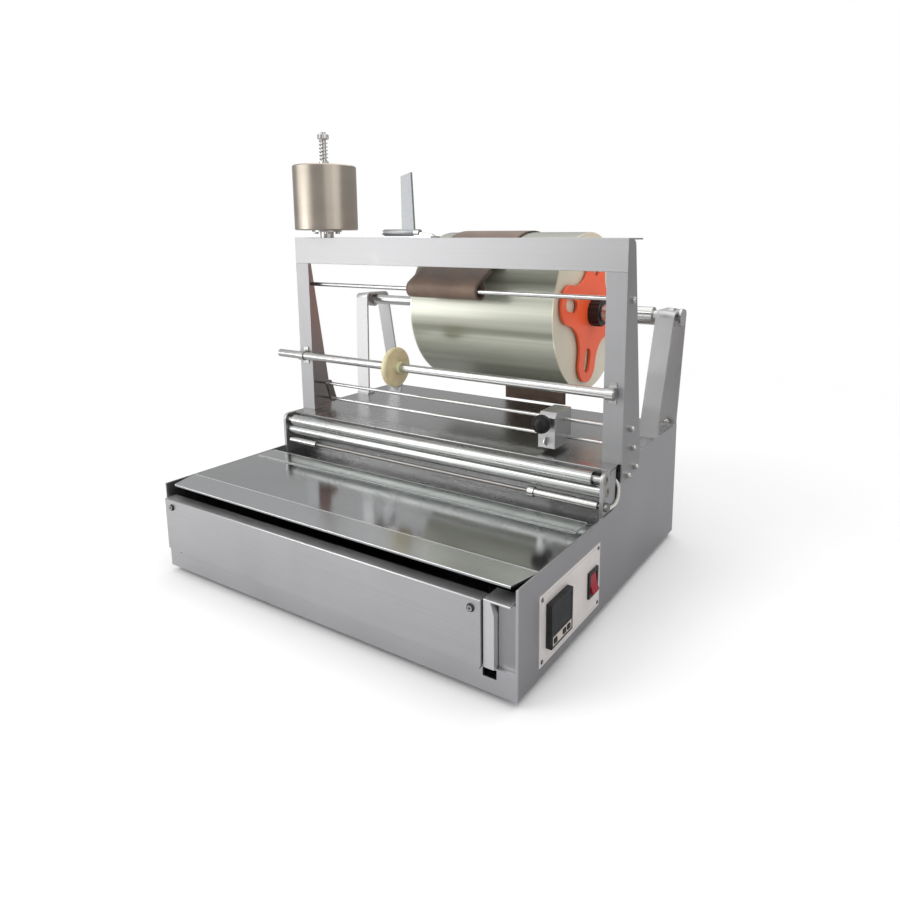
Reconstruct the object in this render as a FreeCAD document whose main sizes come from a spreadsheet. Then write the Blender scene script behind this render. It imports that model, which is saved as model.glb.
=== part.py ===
import FreeCAD, Part
import os
import re
from math import acos, atan2, cos, radians, sin, tan
import Sketcher
from FreeCAD import Placement, Rotation, Vector

# Bench-top hand overwrapping machine with a tear-tape feed. Millimetres, +Z up, the front faces -Y.
# The origin is the middle of the whole machine's footprint, on the surface that its feet stand on.

DRIVING_SIZES = [
    # Base
    ("base_width", 540, "outside of the two side walls"),
    ("base_depth", 464, "front apron to rear wall"),
    ("table_height", 115, "base bottom to table top"),
    ("deck_height", 166, "base bottom to rear deck top"),
    ("gauge", 2, "sheet thickness of shell, deck and frame"),
    ("seat_gap", 0.3, "gap beside loose fitted plates"),
    ("apron_height", 28, "closed band under the front plate"),
    ("shelf_depth", 14, "fold behind the apron's top"),
    ("wing_width", 40, "inward flange at the foot of each side wall"),
    ("ledge_width", 18, "ledges that carry table and deck"),
    ("ledge_setback", 46, "front apron to the table ledges and the heater"),
    ("ledge_spare", 5, "table ledge's rear end to the channel"),
    ("deck_setback", 219, "front apron to the deck's front edge"),
    ("deck_ledge_setback", 30, "deck's front edge to the deck ledges"),
    ("lip_overhang", 17, "deck's front edge to the riser under it"),
    ("lip_drop", 6, "fold at the deck's front edge"),
    ("lip_round", 1.2, "bend at the deck's front edge"),
    ("channel_width", 45, "channel between the table and the deck's front edge"),
    ("channel_depth", 10, "table top to the channel's floor"),
    ("channel_hook", 8, "channel's front fold under the table's rear edge"),
    ("notch_top", 8, "riser to the upper corner of the side wall's notch"),
    ("notch_reach", 13.5, "riser to the lower corner of the notch"),
    ("notch_lead", 19, "notch's front end to the riser"),
    ("notch_rise", 2, "lower corner of the notch above the table"),
    ("notch_round", 13, "round at the bottom of the notch"),
    ("step_drop", 21, "deck top to the side wall's step"),
    ("step_reach", 23, "frame face to the rear end of the step"),
    ("table_gauge", 2.5, "thickness of the table plate"),
    ("table_front_gap", 6, "front apron to the table's front edge"),
    ("table_bend", 37, "table's front edge to its shallow bend"),
    ("table_round", 0.8, "table's front edge"),
    ("table_drop", 1.2, "table's front edge below its top"),
    ("corner_cut", 31, "length of the table's cut corner along the side"),
    ("corner_inset", 9, "length of the table's cut corner along the front"),
    ("strip_setback", 142, "front apron to the film strip"),
    ("strip_width", 31.5, "film strip on the table"),
    ("strip_inset", 8, "side wall to the film strip's end"),
    ("strip_gauge", 1.2, "thickness of the film strip"),
    ("foot_height", 8, "rubber foot under the base"),
    ("foot_dia", 26, "rubber foot"),
    ("foot_taper", 2, "rubber foot, radius lost at the floor"),
    ("foot_inset", 38, "front and rear of the base to the feet"),
    ("cover_gauge", 1.5, "bottom cover and front plate"),
    # Front plate and cheek
    ("front_stand", 7, "how far the front plate stands before the apron"),
    ("front_plate_height", 69, "height of the front plate"),
    ("plate_inset_left", 8, "left side wall to the front plate"),
    ("plate_inset_right", 37, "right side wall to the front plate"),
    ("plate_lift", 1, "front plate's lower edge above the apron"),
    ("plate_round", 1, "bends of the front plate"),
    ("front_flange", 16, "depth of the plate's turned top"),
    ("plate_tab_width", 18, "tabs that the front plate is screwed to"),
    ("plate_tab_spare", 4, "tab's top below the plate's top"),
    ("plate_screw_left", 14, "plate's left edge to its screw"),
    ("plate_screw_right", 11, "plate's right edge to its screw"),
    ("plate_screw_drop", 9, "apron and plate height less the screw's height"),
    ("cheek_gap", 1.4, "front plate to the bar beside it"),
    ("cheek_width", 12, "bar beside the front plate"),
    ("cheek_depth", 10, "bar beside the front plate, front to back"),
    ("cheek_lead", 4, "bar's rear face before the apron"),
    ("cheek_chamfer", 4, "chamfer at the bar's top, across"),
    ("cheek_chamfer_drop", 13, "chamfer at the bar's top, down"),
    ("cheek_cap_width", 30, "cap over the bar"),
    ("cheek_cap_depth", 26, "cap over the bar"),
    ("cheek_slot_drop", 12, "apron's top to the slot under the bar"),
    ("cheek_slot_height", 10, "slot under the bar"),
    ("jamb_width", 21, "upright strip beside the front opening"),
    ("jamb_setback", 4, "front apron to the upright strip"),
    ("screw_head_dia", 9, "front plate's screws"),
    ("screw_head_rise", 2.2, "front plate's screws"),
    ("screw_head_bevel", 1, "screw head, radius lost at its top"),
    # Control panel
    ("panel_setback", 42, "front apron to the label plate"),
    ("panel_width", 146, "label plate along the side"),
    ("panel_rise", 12, "base bottom to the label plate"),
    ("panel_height", 77, "label plate"),
    ("panel_gauge", 1, "label plate"),
    ("panel_screw_inset", 5, "label plate's edge to its screws"),
    ("panel_screw_dia", 5, "label plate's screws"),
    ("panel_screw_rise", 1.1, "label plate's screws"),
    ("controller_face", 48, "square front of the controller"),
    ("controller_stand", 7.8, "how far the controller stands out"),
    ("controller_cutout", 45, "square hole and body of the controller"),
    ("controller_depth", 70, "controller body inside the base"),
    ("controller_offset", 13, "label plate's front edge to the controller"),
    ("controller_rise", 15.6, "label plate's lower edge to the controller"),
    ("window_recess", 1.2, "controller's window below its front"),
    ("window_margin", 4, "controller's edge to its window"),
    ("window_rise", 15, "controller's lower edge to its window"),
    ("window_gap", 0.1, "window to its recess"),
    ("key_width", 6, "controller key"),
    ("key_height", 5, "controller key"),
    ("key_length", 3, "controller key, front to back"),
    ("key_rise", 5, "controller's lower edge to the keys"),
    ("key_first", 5, "controller's edge to the first key"),
    ("key_second", 25, "controller's edge to the second key"),
    ("key_third", 35, "controller's edge to the third key"),
    ("key_gap", 0.2, "controller key to its well"),
    ("key_travel", 0.8, "controller key"),
    ("switch_width", 25, "rocker switch bezel"),
    ("switch_height", 31, "rocker switch bezel"),
    ("switch_rim", 2, "bezel beyond the switch's body"),
    ("switch_wall", 2, "wall of the switch's body"),
    ("switch_depth", 24, "switch's body inside the base"),
    ("switch_well", 12, "hollow of the switch's body inside the base"),
    ("switch_offset", 112, "label plate's front edge to the switch"),
    ("switch_rise", 22, "label plate's lower edge to the switch"),
    ("switch_stand", 2.5, "rocker switch bezel"),
    ("rocker_gap", 0.5, "rocker to the switch's body"),
    ("rocker_lift", 0.6, "rocker's axis before the label plate"),
    ("rocker_throw", 12, "degrees that the rocker leans each way"),
    ("rocker_rise", 3.2, "rocker's ends before its axis"),
    ("rocker_dish", 1.6, "hollow of the rocker's face"),
    ("rocker_root", 5, "rocker behind its axis"),
    # Frame
    ("frame_setback", 245, "front apron to the frame's front face"),
    ("frame_height", 435, "base bottom to the beam's top"),
    ("post_width", 24, "front face of each post"),
    ("post_foot_depth", 18, "fold at the post's foot"),
    ("beam_face", 39, "front face of the beam"),
    ("beam_depth", 46, "top flange of the beam"),
    ("flange_top", 23, "side flange of the post at its top"),
    ("flange_round", 8, "round at the side flange's top"),
    ("flange_foot", 61, "side flange of the post at the deck"),
    ("flange_heel", 58, "side flange of the post at its lower end"),
    ("flange_toe", 18, "frame face to the side flange's lowest corner"),
    ("flange_drop", 23, "side flange's front below the deck"),
    ("flange_heel_drop", 16, "side flange's rear below the deck"),
    ("tab_width", 18, "beam's welded end tab"),
    ("tab_drop", 20, "beam's welded end tab below the beam face"),
    ("nut_flats", 8, "acorn nuts"),
    ("nut_height", 3.5, "acorn nut's hexagon"),
    ("nut_dome_dia", 7.2, "acorn nut's dome"),
    ("bolt_dia", 5, "frame bolts"),
    ("bolt_front_inset", 15.5, "frame face to the front frame bolt"),
    ("bolt_front_drop", 17, "deck top to the front frame bolt"),
    ("bolt_rear_inset", 40.5, "frame face to the rear frame bolt"),
    ("bolt_rear_drop", 13, "deck top to the rear frame bolt"),
    ("bore_gap", 0.1, "radial clearance of plain holes"),
    # Rods
    ("upper_rod_dia", 6, "rod that carries the strap"),
    ("upper_rod_height", 363.5, "base bottom to the rod"),
    ("upper_rod_inset", 17, "frame face to the rod"),
    ("rod_nut_dia", 9, "nut on the upper rod's right end"),
    ("rod_nut_length", 5, "nut on the upper rod's right end"),
    ("rod_knob_dia", 15, "knob on the upper rod's left end"),
    ("rod_knob_length", 12, "knob on the upper rod's left end"),
    ("rod_knob_round", 2.5, "knob's bevels"),
    ("guide_bar_dia", 12, "tape guide bar"),
    ("guide_bar_height", 253, "base bottom to the guide bar"),
    ("guide_bar_over", 39, "left side wall to the bar's left end"),
    ("guide_bar_inset", 6, "bar's right end to the right side wall"),
    ("clip_gauge", 1.5, "clips that hold the guide bar"),
    ("clip_width", 10, "clips that hold the guide bar"),
    ("clip_height", 26, "clips that hold the guide bar"),
    ("clip_inset", 12, "side wall to the middle of each clip"),
    ("wheel_dia", 57, "tape guide wheel"),
    ("wheel_width", 8, "tape guide wheel"),
    ("wheel_round", 2, "tape guide wheel's rim"),
    ("wheel_hub_dia", 18, "tape guide wheel's boss"),
    ("wheel_hub_width", 8, "tape guide wheel's boss"),
    ("wheel_place", -74.5, "machine middle to the wheel"),
    ("run_gap", 0.06, "radial clearance of running fits"),
    ("cutter_rod_dia", 5, "rods of the cutter slide"),
    ("cutter_rod_inset", 30, "frame face to the lower rod"),
    ("cutter_rod_lead", 8, "upper rod before the lower one"),
    ("cutter_rod_rise", 14, "rear deck to the lower rod"),
    ("cutter_rod_pitch", 26, "lower to upper rod"),
    ("stop_inset", 33, "left side wall to the stop link of the rods"),
    ("stop_width", 4, "stop link of the rods"),
    ("stop_wall", 3, "stop link round each rod"),
    ("slider_width", 24, "cutter slider along the rods"),
    ("slider_depth", 46, "cutter slider front to back"),
    ("slider_height", 46, "cutter slider"),
    ("slider_inset", 98, "right side wall to the middle of the slider"),
    ("slider_lift", 2, "slider's middle above the middle of the rods"),
    ("slider_lead", 35, "slider's front face before the lower rod"),
    ("slider_bevel", 6, "bevel at the slider's front top"),
    ("knob_dia", 24, "ball knob"),
    ("knob_neck_dia", 9, "ball knob's neck"),
    ("knob_neck_length", 4, "ball knob's neck"),
    ("knob_drop", 11.5, "slider's top to the knob"),
    ("knob_sink", 2, "neck inside the ball"),
    ("blade_gauge", 0.8, "cutter blade"),
    ("blade_rise", 3, "slider's bottom to the blade"),
    ("blade_height", 12, "cutter blade"),
    ("blade_root", 14, "blade beside the slider"),
    ("blade_reach", 8, "cutter blade before the slider"),
    # Tear-tape unit
    ("spool_side_inset", 44, "left side wall to the spool's axis"),
    ("spool_inset", 23, "frame face to the spool"),
    ("spool_dia", 94, "tape spool"),
    ("spool_height", 95, "tape spool"),
    ("spool_round", 1.5, "spool's edges"),
    ("spool_rim", 4, "spool's rim round the recess"),
    ("spool_dish", 6, "recess in the spool's top"),
    ("stem_dia", 20, "stem under the spool"),
    ("stem_height", 8.5, "stem under the spool"),
    ("stem_flange_dia", 44, "flange of the stem"),
    ("stem_flange_gauge", 2.5, "flange of the stem"),
    ("stud_dia", 7, "stud heads under the stem's flange"),
    ("stud_length", 4, "stud heads under the stem's flange"),
    ("stud_circle", 32, "circle of the stud heads"),
    ("spindle_dia", 8, "upright spindle"),
    ("spindle_reach", 155, "spindle above the beam"),
    ("spindle_foot", 6, "spindle below the beam"),
    ("spindle_nut_dia", 15, "nut under the beam, over its corners"),
    ("spindle_nut_height", 5.5, "nut under the beam"),
    ("cone_dia", 30, "pressure cone's foot"),
    ("cone_top_dia", 14, "pressure cone's top"),
    ("cone_height", 12, "pressure cone"),
    ("cone_rim", 1.5, "pressure cone's rim"),
    ("spring_dia", 13, "brake spring, outside"),
    ("spring_wire", 1.6, "brake spring's wire"),
    ("spring_turns", 6, "brake spring"),
    ("spring_seat", 0.1, "spring's end to what it bears on"),
    ("spool_nut_dia", 17, "nut over the spring"),
    ("spool_nut_height", 7, "nut over the spring"),
    ("spool_nut_drop", 3, "spindle's tip to the nut"),
    ("flute_dia", 3.2, "flutes of the nut over the spring"),
    ("flute_count", 8, "flutes of the nut over the spring"),
    ("lever_place", -70, "machine middle to the lever"),
    ("lever_inset", 28, "frame face to the lever's axis"),
    ("lever_width", 22, "tape lever"),
    ("lever_taper", 4, "tape lever, width lost at its top"),
    ("lever_slant", 5, "slope of the lever's top"),
    ("lever_gauge", 4, "tape lever"),
    ("lever_reach", 83, "tape lever above its axis"),
    ("barrel_dia", 9.4, "lever's barrel"),
    ("barrel_left", 44, "lever to the barrel's left end"),
    ("barrel_right", 11, "lever to the barrel's right end"),
    ("pin_dia", 4, "lever's pin"),
    ("pin_head_dia", 7, "lever's pin"),
    ("pin_head_width", 3.2, "lever's pin"),
    ("knuckle_width", 9, "bracket's knuckle"),
    ("bracket_width", 36, "lever's bracket"),
    ("bracket_depth", 22, "lever's bracket"),
    ("web_gauge", 6, "web of the lever's bracket"),
    ("web_tip", 3, "web of the lever's bracket at its end"),
    # Film roll
    ("roll_place", 28, "machine middle to the middle of the roll"),
    ("roll_width", 240, "film roll"),
    ("roll_dia", 230, "film roll"),
    ("core_dia", 84, "film core, outside"),
    ("core_wall", 4, "film core"),
    ("core_gap", 0.02, "film to its core"),
    ("roll_setback", 415, "front apron to the roll's axis"),
    ("roll_height", 328, "base bottom to the roll's axis"),
    ("shaft_dia", 16, "roll shaft"),
    ("shaft_over_right", 17, "right side wall to the shaft's right end"),
    ("shaft_over_left", 10, "left side wall to the shaft's left end"),
    ("shaft_cap_dia", 24, "disc at the shaft's right end"),
    ("shaft_cap_width", 3.5, "disc at the shaft's right end"),
    ("sleeve_dia", 25, "sleeve on the shaft's right part"),
    ("sleeve_gap", 1, "chuck nut to the sleeve"),
    ("sleeve_spare", 12, "sleeve to the middle of the right stand's foot"),
    ("chuck_gap", 2, "film roll to the chuck's plate"),
    ("chuck_reach", 103, "chuck's axis to the tip of an arm"),
    ("chuck_arm_width", 56, "chuck arm"),
    ("chuck_gauge", 4, "chuck arm"),
    ("chuck_web_round", 42, "concave curve between two arms"),
    ("chuck_slot_start", 62, "chuck's axis to the slot's inner centre"),
    ("chuck_slot_end", 80, "chuck's axis to the slot's outer centre"),
    ("chuck_slot_width", 18, "chuck's slot"),
    ("chuck_turn", 78, "degrees from level to the first arm"),
    ("plug_length", 26, "chuck's plug inside the core"),
    ("plug_gap", 0.1, "chuck's plug to the core"),
    ("nut_dia", 38, "ribbed chuck nut"),
    ("nut_width", 16, "ribbed chuck nut"),
    ("nut_rib", 2.4, "ribs of the chuck nut"),
    ("nut_rib_count", 16, "ribs of the chuck nut"),
    ("nut_rib_inset", 1, "ribs' ends to the nut's faces"),
    ("spigot_wall", 4, "chuck's spigot round the shaft"),
    ("spigot_short", 2, "nut's face beyond the spigot"),
    # Stands
    ("stand_inset", 12, "side wall to the middle of a stand's foot"),
    ("stand_width", 25, "width of the bent bar"),
    ("stand_gauge", 3, "thickness of the bent bar"),
    ("stand_lean", 4.3, "degrees that each stand leans outwards"),
    ("stand_front", 47, "roll axis to the front foot"),
    ("stand_rear", 47, "roll axis to the rear foot"),
    ("stand_top_front", 27, "roll axis to the front bend"),
    ("stand_top_rear", 28, "roll axis to the rear bend"),
    ("stand_bend", 9, "radius of the bends"),
    ("foot_bolt_inset", 5.8, "stand foot's inner end to its bolt"),
    ("stand_foot", 16, "turned foot of the stand"),
    ("eye_wall", 4.5, "eye round the shaft"),
    ("eye_width", 10, "eye round the shaft"),
    # Strap
    ("strap_width", 119, "leather brake strap"),
    ("strap_place", -4.5, "machine middle to the middle of the strap"),
    ("strap_gauge", 2, "leather brake strap"),
    ("strap_loop", 20, "inside of the loose loop round the upper rod"),
    ("strap_turn", 300, "degrees of the loop round the upper rod"),
    ("strap_lap", 9, "loop to the start of the lap under the strap"),
    ("strap_lap_run", 3, "slanted part of the lap"),
    ("strap_flap", 26, "loop's end lying under the strap"),
    ("strap_gap", 0.4, "strap to what it lies on"),
    ("strap_tail", 176, "hanging tail below the roll's axis"),
    # Rollers
    ("roller_dia", 16, "feed rollers"),
    ("nip_gap", 0.3, "gap between the feed rollers"),
    ("lower_roller_setback", 212, "front apron to the lower roller"),
    ("lower_roller_rise", 25.7, "table top to the lower roller's axis"),
    ("roller_offset", 4, "upper roller before the lower one"),
    ("journal_dia", 8, "roller journals"),
    ("journal_reach", 4, "journals inside the brackets"),
    ("lower_shoulder", 1, "bare journal at each end of the lower roller"),
    ("upper_shoulder", 12, "bare journal at each end of the upper roller"),
    ("roller_bracket_gauge", 5, "roller end brackets"),
    ("roller_bracket_lead", 12, "lower roller to the bracket's front edge"),
    ("roller_bracket_round", 9, "round at the bracket's front top"),
    ("bush_wall", 2, "roller bushes"),
    ("bush_gap", 0.01, "roller bushes in their brackets"),
    ("cutting_rod_dia", 5, "heated cutting rod"),
    ("cutting_rod_setback", 206, "front apron to the cutting rod"),
    ("cutting_rod_rise", 10, "table top to the cutting rod's axis"),
    ("rod_sleeve_dia", 10, "sleeves of the cutting rod"),
    ("rod_sleeve_gap", 0.05, "sleeves on the cutting rod"),
    ("rod_sleeve_left", 54, "length of the left sleeve"),
    ("rod_sleeve_right", 84, "length of the right sleeve"),
    ("rod_sleeve_inset", 6, "bracket to the left sleeve"),
    ("rod_sleeve_spare", 4, "right sleeve to the bracket"),
    ("collar_dia", 13, "collar beside the right sleeve"),
    ("collar_width", 8, "collar beside the right sleeve"),
    ("collar_gap", 0.5, "collar to the right sleeve"),
    ("terminal_dia", 11, "terminal on the cutting rod's right end"),
    ("terminal_width", 4, "terminal on the cutting rod's right end"),
    ("lead_dia", 4, "heat-resistant lead"),
    ("lead_stand", 0.3, "side wall's inner face to the lead"),
    ("lead_rise", 4.5, "lead's run through the notch above the table"),
    ("lead_exit", 15.5, "lead's run into the base below the deck's top"),
    ("lead_setback", 5.5, "riser to the lead"),
    ("lead_end_rise", 6.2, "table top to the lead at its terminal"),
    ("lead_end_gap", 5.3, "cutting rod's axis to the lead's end"),
    ("lead_share", 0.45, "part of a run that a bend of the lead takes up"),
    ("lead_inset", 55, "side wall to the lead's bend inside the base"),
    ("lead_run", 60, "lead's last run to the terminal block"),
    # Inside
    ("heater_depth", 115, "heater plate"),
    ("heater_gauge", 9, "heater plate"),
    ("heater_inset", 45, "side wall to the heater plate"),
    ("relay_width", 60, "relay's heat sink"),
    ("relay_depth", 70, "relay's heat sink"),
    ("relay_place", -60, "machine middle to the heat sink's left end"),
    ("relay_setback", 330, "front apron to the heat sink"),
    ("sink_gauge", 6, "heat sink's floor"),
    ("fin_gauge", 2, "heat sink's fins"),
    ("fin_height", 14, "heat sink's fins"),
    ("fin_count", 7, "heat sink's fins"),
    ("relay_block_width", 45, "relay"),
    ("relay_block_depth", 58, "relay"),
    ("relay_block_height", 26, "relay"),
    ("relay_margin", 7, "heat sink's end to the relay"),
    ("block_place", 60, "machine middle to the terminal block's left end"),
    ("block_setback", 340, "front apron to the terminal block"),
    ("block_width", 80, "terminal block"),
    ("block_depth", 24, "terminal block"),
    ("block_height", 12, "terminal block"),
    ("block_wall", 2, "walls of the terminal block"),
    ("block_wall_rise", 6, "walls of the terminal block"),
    ("block_wall_count", 6, "walls of the terminal block"),
    ("gland_bore", 8, "hole for the mains lead"),
    ("gland_thread", 16, "gland's threaded neck"),
    ("gland_inset", 120, "right side wall to the gland"),
    ("gland_rise", 30, "base bottom to the gland"),
    ("gland_neck", 9, "gland's neck inside the rear wall"),
    ("gland_hex", 25, "gland's hexagon over its corners"),
    ("gland_hex_width", 5, "gland's hexagon"),
    ("gland_dome_dia", 20, "gland's dome at the hexagon"),
    ("gland_tip_dia", 13, "gland's dome at its tip"),
    ("gland_dome_length", 13, "gland's dome"),
    ("gland_lock", 24, "gland's lock nut over its corners"),
    ("gland_lock_width", 4, "gland's lock nut"),
    ("drill", 20, "length of the tools that drill through sheets"),
]

# Sizes that follow from the driving ones. Heights are from the floor, depths from the origin.
DERIVED_SIZES = {
    "half_width": "base_width / 2",
    "guide_bar_left": "half_width + guide_bar_over",
    "guide_bar_right": "half_width - guide_bar_inset",
    "shaft_left": "half_width + shaft_over_left",
    "shaft_right": "half_width + shaft_over_right",
    "left_reach": "guide_bar_left",
    "right_reach": "shaft_right",
    "front_reach": "front_stand + screw_head_rise",
    "rear_reach": "roll_setback + roll_dia / 2 + strap_gap + strap_gauge",
    "mid_x": "(left_reach - right_reach) / 2",
    "front_y": "(front_reach - rear_reach) / 2",
    "base_z": "foot_height",
    "table_z": "base_z + table_height",
    "deck_z": "base_z + deck_height",
    "beam_z": "base_z + frame_height",
    "apron_z": "base_z + apron_height",
    "deck_y": "front_y + deck_setback",
    "frame_y": "front_y + frame_setback",
    "rear_y": "front_y + base_depth",
    "riser_y": "deck_y + lip_overhang",
    "table_rear_y": "deck_y - channel_width",
    "channel_z": "table_z - channel_depth",
    "wall_inside": "half_width - gauge",
    "flange_outside": "half_width + gauge",
    "plate_left": "half_width - plate_inset_left",
    "plate_right": "half_width - plate_inset_right",
    "plate_y": "front_y - front_stand",
    "roll_y": "front_y + roll_setback",
    "roll_z": "base_z + roll_height",
    "upper_rod_y": "frame_y + upper_rod_inset",
    "upper_rod_z": "base_z + upper_rod_height",
    "guide_bar_y": "frame_y - clip_gauge - run_gap - guide_bar_dia / 2",
    "guide_bar_z": "base_z + guide_bar_height",
    "clip_place": "half_width - clip_inset",
    "cutter_low_y": "frame_y + cutter_rod_inset",
    "cutter_high_y": "cutter_low_y - cutter_rod_lead",
    "cutter_low_z": "deck_z + cutter_rod_rise",
    "cutter_high_z": "cutter_low_z + cutter_rod_pitch",
    "slider_x": "mid_x + half_width - slider_inset - slider_width / 2",
    "slider_y": "cutter_low_y - slider_lead",
    "slider_z": "(cutter_low_z + cutter_high_z) / 2 + slider_lift - slider_height / 2",
    "panel_y": "front_y + panel_setback",
    "panel_z": "base_z + panel_rise",
    "panel_face": "mid_x + half_width + panel_gauge",
    "controller_y": "panel_y + controller_offset",
    "controller_z": "panel_z + controller_rise",
    "controller_front": "mid_x + half_width + controller_stand",
    "controller_trim": "(controller_face - controller_cutout) / 2",
    "switch_y": "panel_y + switch_offset",
    "switch_z": "panel_z + switch_rise",
    "rocker_half": "(switch_height - 2 * (switch_rim + switch_wall + rocker_gap)) / 2",
    "spool_x": "mid_x - half_width + spool_side_inset",
    "spool_y": "frame_y + spool_inset",
    "spool_z": "beam_z + stem_height + stem_flange_gauge",
    "spool_top": "spool_z + spool_height",
    "cone_z": "spool_top - spool_dish",
    "nut_z": "beam_z + spindle_reach - spool_nut_drop - spool_nut_height",
    "spring_length": "nut_z - cone_z - cone_height",
    "lever_x": "mid_x + lever_place",
    "lever_y": "frame_y + lever_inset",
    "lever_z": "beam_z + gauge + barrel_dia / 2 + seat_gap",
    "lower_roller_y": "front_y + lower_roller_setback",
    "lower_roller_z": "table_z + lower_roller_rise",
    "upper_roller_y": "lower_roller_y - roller_offset",
    "upper_roller_z": "lower_roller_z + sqrt((roller_dia + nip_gap)^2 - roller_offset^2)",
    "bracket_inside": "wall_inside - roller_bracket_gauge",
    "cutting_rod_y": "front_y + cutting_rod_setback",
    "cutting_rod_z": "table_z + cutting_rod_rise",
    "lead_x": "mid_x + wall_inside + lead_stand + lead_dia / 2",
    "lead_y": "riser_y + lead_setback",
    "stop_half": "cutter_rod_dia / 2 + stop_wall",
    "stop_across": "stop_half * cutter_rod_pitch / sqrt(cutter_rod_lead^2 + cutter_rod_pitch^2)",
    "stop_up": "stop_across * cutter_rod_lead / cutter_rod_pitch",
    "chuck_start": "roll_width / 2 + chuck_gap",
    "stand_place": "half_width - stand_inset",
    "stand_drop": "roll_height - deck_height",
    "stand_foot_gauge": "stand_gauge * 0.75",
    "stand_shift": "stand_drop * tan(stand_lean)",
    "floor_z": "base_z + gauge + cover_gauge",
    "block_end": "mid_x + block_place + block_width",
    "block_middle": "front_y + block_setback + block_depth / 2",
    "gland_x": "mid_x + half_width - gland_inset",
    "gland_z": "base_z + gland_rise",
}

AXIS_TURNS = {
    "x": Rotation(Vector(0, 1, 0), 90),
    "y": Rotation(Vector(1, 0, 0), -90),
    "z": Rotation(),
}
PLANE_ROLES = {"xy": "XY_Plane", "xz": "XZ_Plane", "yz": "YZ_Plane"}
ORIGIN = ("0", "0", "0")

doc = FreeCAD.newDocument("OverwrappingMachine")
sheet = doc.addObject("Spreadsheet::Sheet", "Sizes")
for row, (alias, number, meaning) in enumerate(DRIVING_SIZES, start=1):
    sheet.set(f"A{row}", meaning)
    sheet.set(f"B{row}", str(number))
    sheet.setAlias(f"B{row}", alias)
doc.recompute()

driving_names = {alias for alias, _, _ in DRIVING_SIZES}
places = {}
nodes = []


def expression(text):
    """The text with each size's name turned into its cell, or into the formula that it stands for."""
    def cell(match):
        word = match.group(0)
        if word in DERIVED_SIZES:
            return f"({expression(DERIVED_SIZES[word])})"
        return f"Sizes.{word}" if word in driving_names else word
    return re.sub(r"[a-z_]\w*", cell, text)


def value(text):
    """The number that an expression of the sizes comes to now."""
    return float(sheet.evalExpression(expression(text)))


def bind(item, **formulas):
    """Tie properties of a document object to expressions of the sizes."""
    for name, text in formulas.items():
        item.setExpression(name, expression(text))
    return item


def put(item, at, turn=None):
    """Place an object at a point given as three expressions, turned if need be."""
    if turn is not None:
        item.Placement = Placement(Vector(), turn)
    for letter, text in zip("xyz", at):
        item.setExpression(f".Placement.Base.{letter}", expression(text))
    places[item.Name] = at
    return item


def box(name, at, size):
    """A block with its lowest corner at a point."""
    item = bind(doc.addObject("Part::Box", name), Length=size[0], Width=size[1], Height=size[2])
    return put(item, at)


def rod(name, axis, at, length, diameter):
    """A round bar that starts at a point and runs along an axis."""
    item = bind(doc.addObject("Part::Cylinder", name), Height=length, Radius=f"({diameter}) / 2")
    return put(item, at, AXIS_TURNS[axis])


def cone(name, axis, at, length, start_diameter, end_diameter):
    """A round taper that starts at a point and runs along an axis."""
    item = doc.addObject("Part::Cone", name)
    bind(item, Height=length, Radius1=f"({start_diameter}) / 2", Radius2=f"({end_diameter}) / 2")
    return put(item, at, AXIS_TURNS[axis])


def ball(name, at, diameter):
    """A sphere with its centre at a point."""
    return put(bind(doc.addObject("Part::Sphere", name), Radius=f"({diameter}) / 2"), at)


def join(name, *items):
    """One solid from several that meet."""
    if len(items) == 1:
        return items[0]
    item = doc.addObject("Part::MultiFuse", name)
    item.Shapes = list(items)
    item.Refine = True
    return item


def group(name, *items):
    """Separate solids kept together, such as a set of screws."""
    item = doc.addObject("Part::Compound", name)
    item.Links = list(items)
    return item


def cut(name, base, *tools):
    """A solid with others taken out of it."""
    item = doc.addObject("Part::Cut", name)
    item.Base = base
    item.Tool = join(f"{name}_tools", *tools)
    item.Refine = True
    return item


def tube(name, axis, at, length, outer, inner):
    """A round bar with a bore right through it."""
    bore = rod(f"{name}_bore", axis, at, length, inner)
    return cut(name, rod(f"{name}_outside", axis, at, length, outer), bore)


def sketch_outline(body, name, plane, points):
    """A closed outline of straight edges, each corner tied to a pair of expressions."""
    sketch = body.newObject("Sketcher::SketchObject", name)
    role = PLANE_ROLES[plane]
    flat = next(part for part in body.Origin.OriginFeatures if part.Role == role)
    sketch.AttachmentSupport = (flat, [""])
    sketch.MapMode = "FlatFace"
    corners = [Vector(value(across), value(up), 0) for across, up in points]
    last = len(corners) - 1
    for index, corner in enumerate(corners):
        following = corners[index + 1 if index < last else 0]
        sketch.addGeometry(Part.LineSegment(corner, following), False)
    for index in range(len(corners)):
        following = index + 1 if index < last else 0
        sketch.addConstraint(Sketcher.Constraint("Coincident", index, 2, following, 1))
    for index, (across, up) in enumerate(points):
        here = corners[index]
        for kind, text, number in (("DistanceX", across, here.x), ("DistanceY", up, here.y)):
            mark = sketch.addConstraint(Sketcher.Constraint(kind, -1, 1, index, 1, number))
            sketch.setExpression(f"Constraints[{mark}]", expression(text))
    return sketch


def padded(name, plane, points, depth, at=ORIGIN, turn=None):
    """A body padded from an outline, from its plane towards the positive side of the third axis."""
    body = doc.addObject("PartDesign::Body", name)
    sketch = sketch_outline(body, f"{name}_outline", plane, points)
    pad = body.newObject("PartDesign::Pad", f"{name}_pad")
    pad.Profile = sketch
    pad.Reversed = plane == "xz"
    bind(pad, Length=depth)
    put(body, at, turn)
    return body


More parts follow.
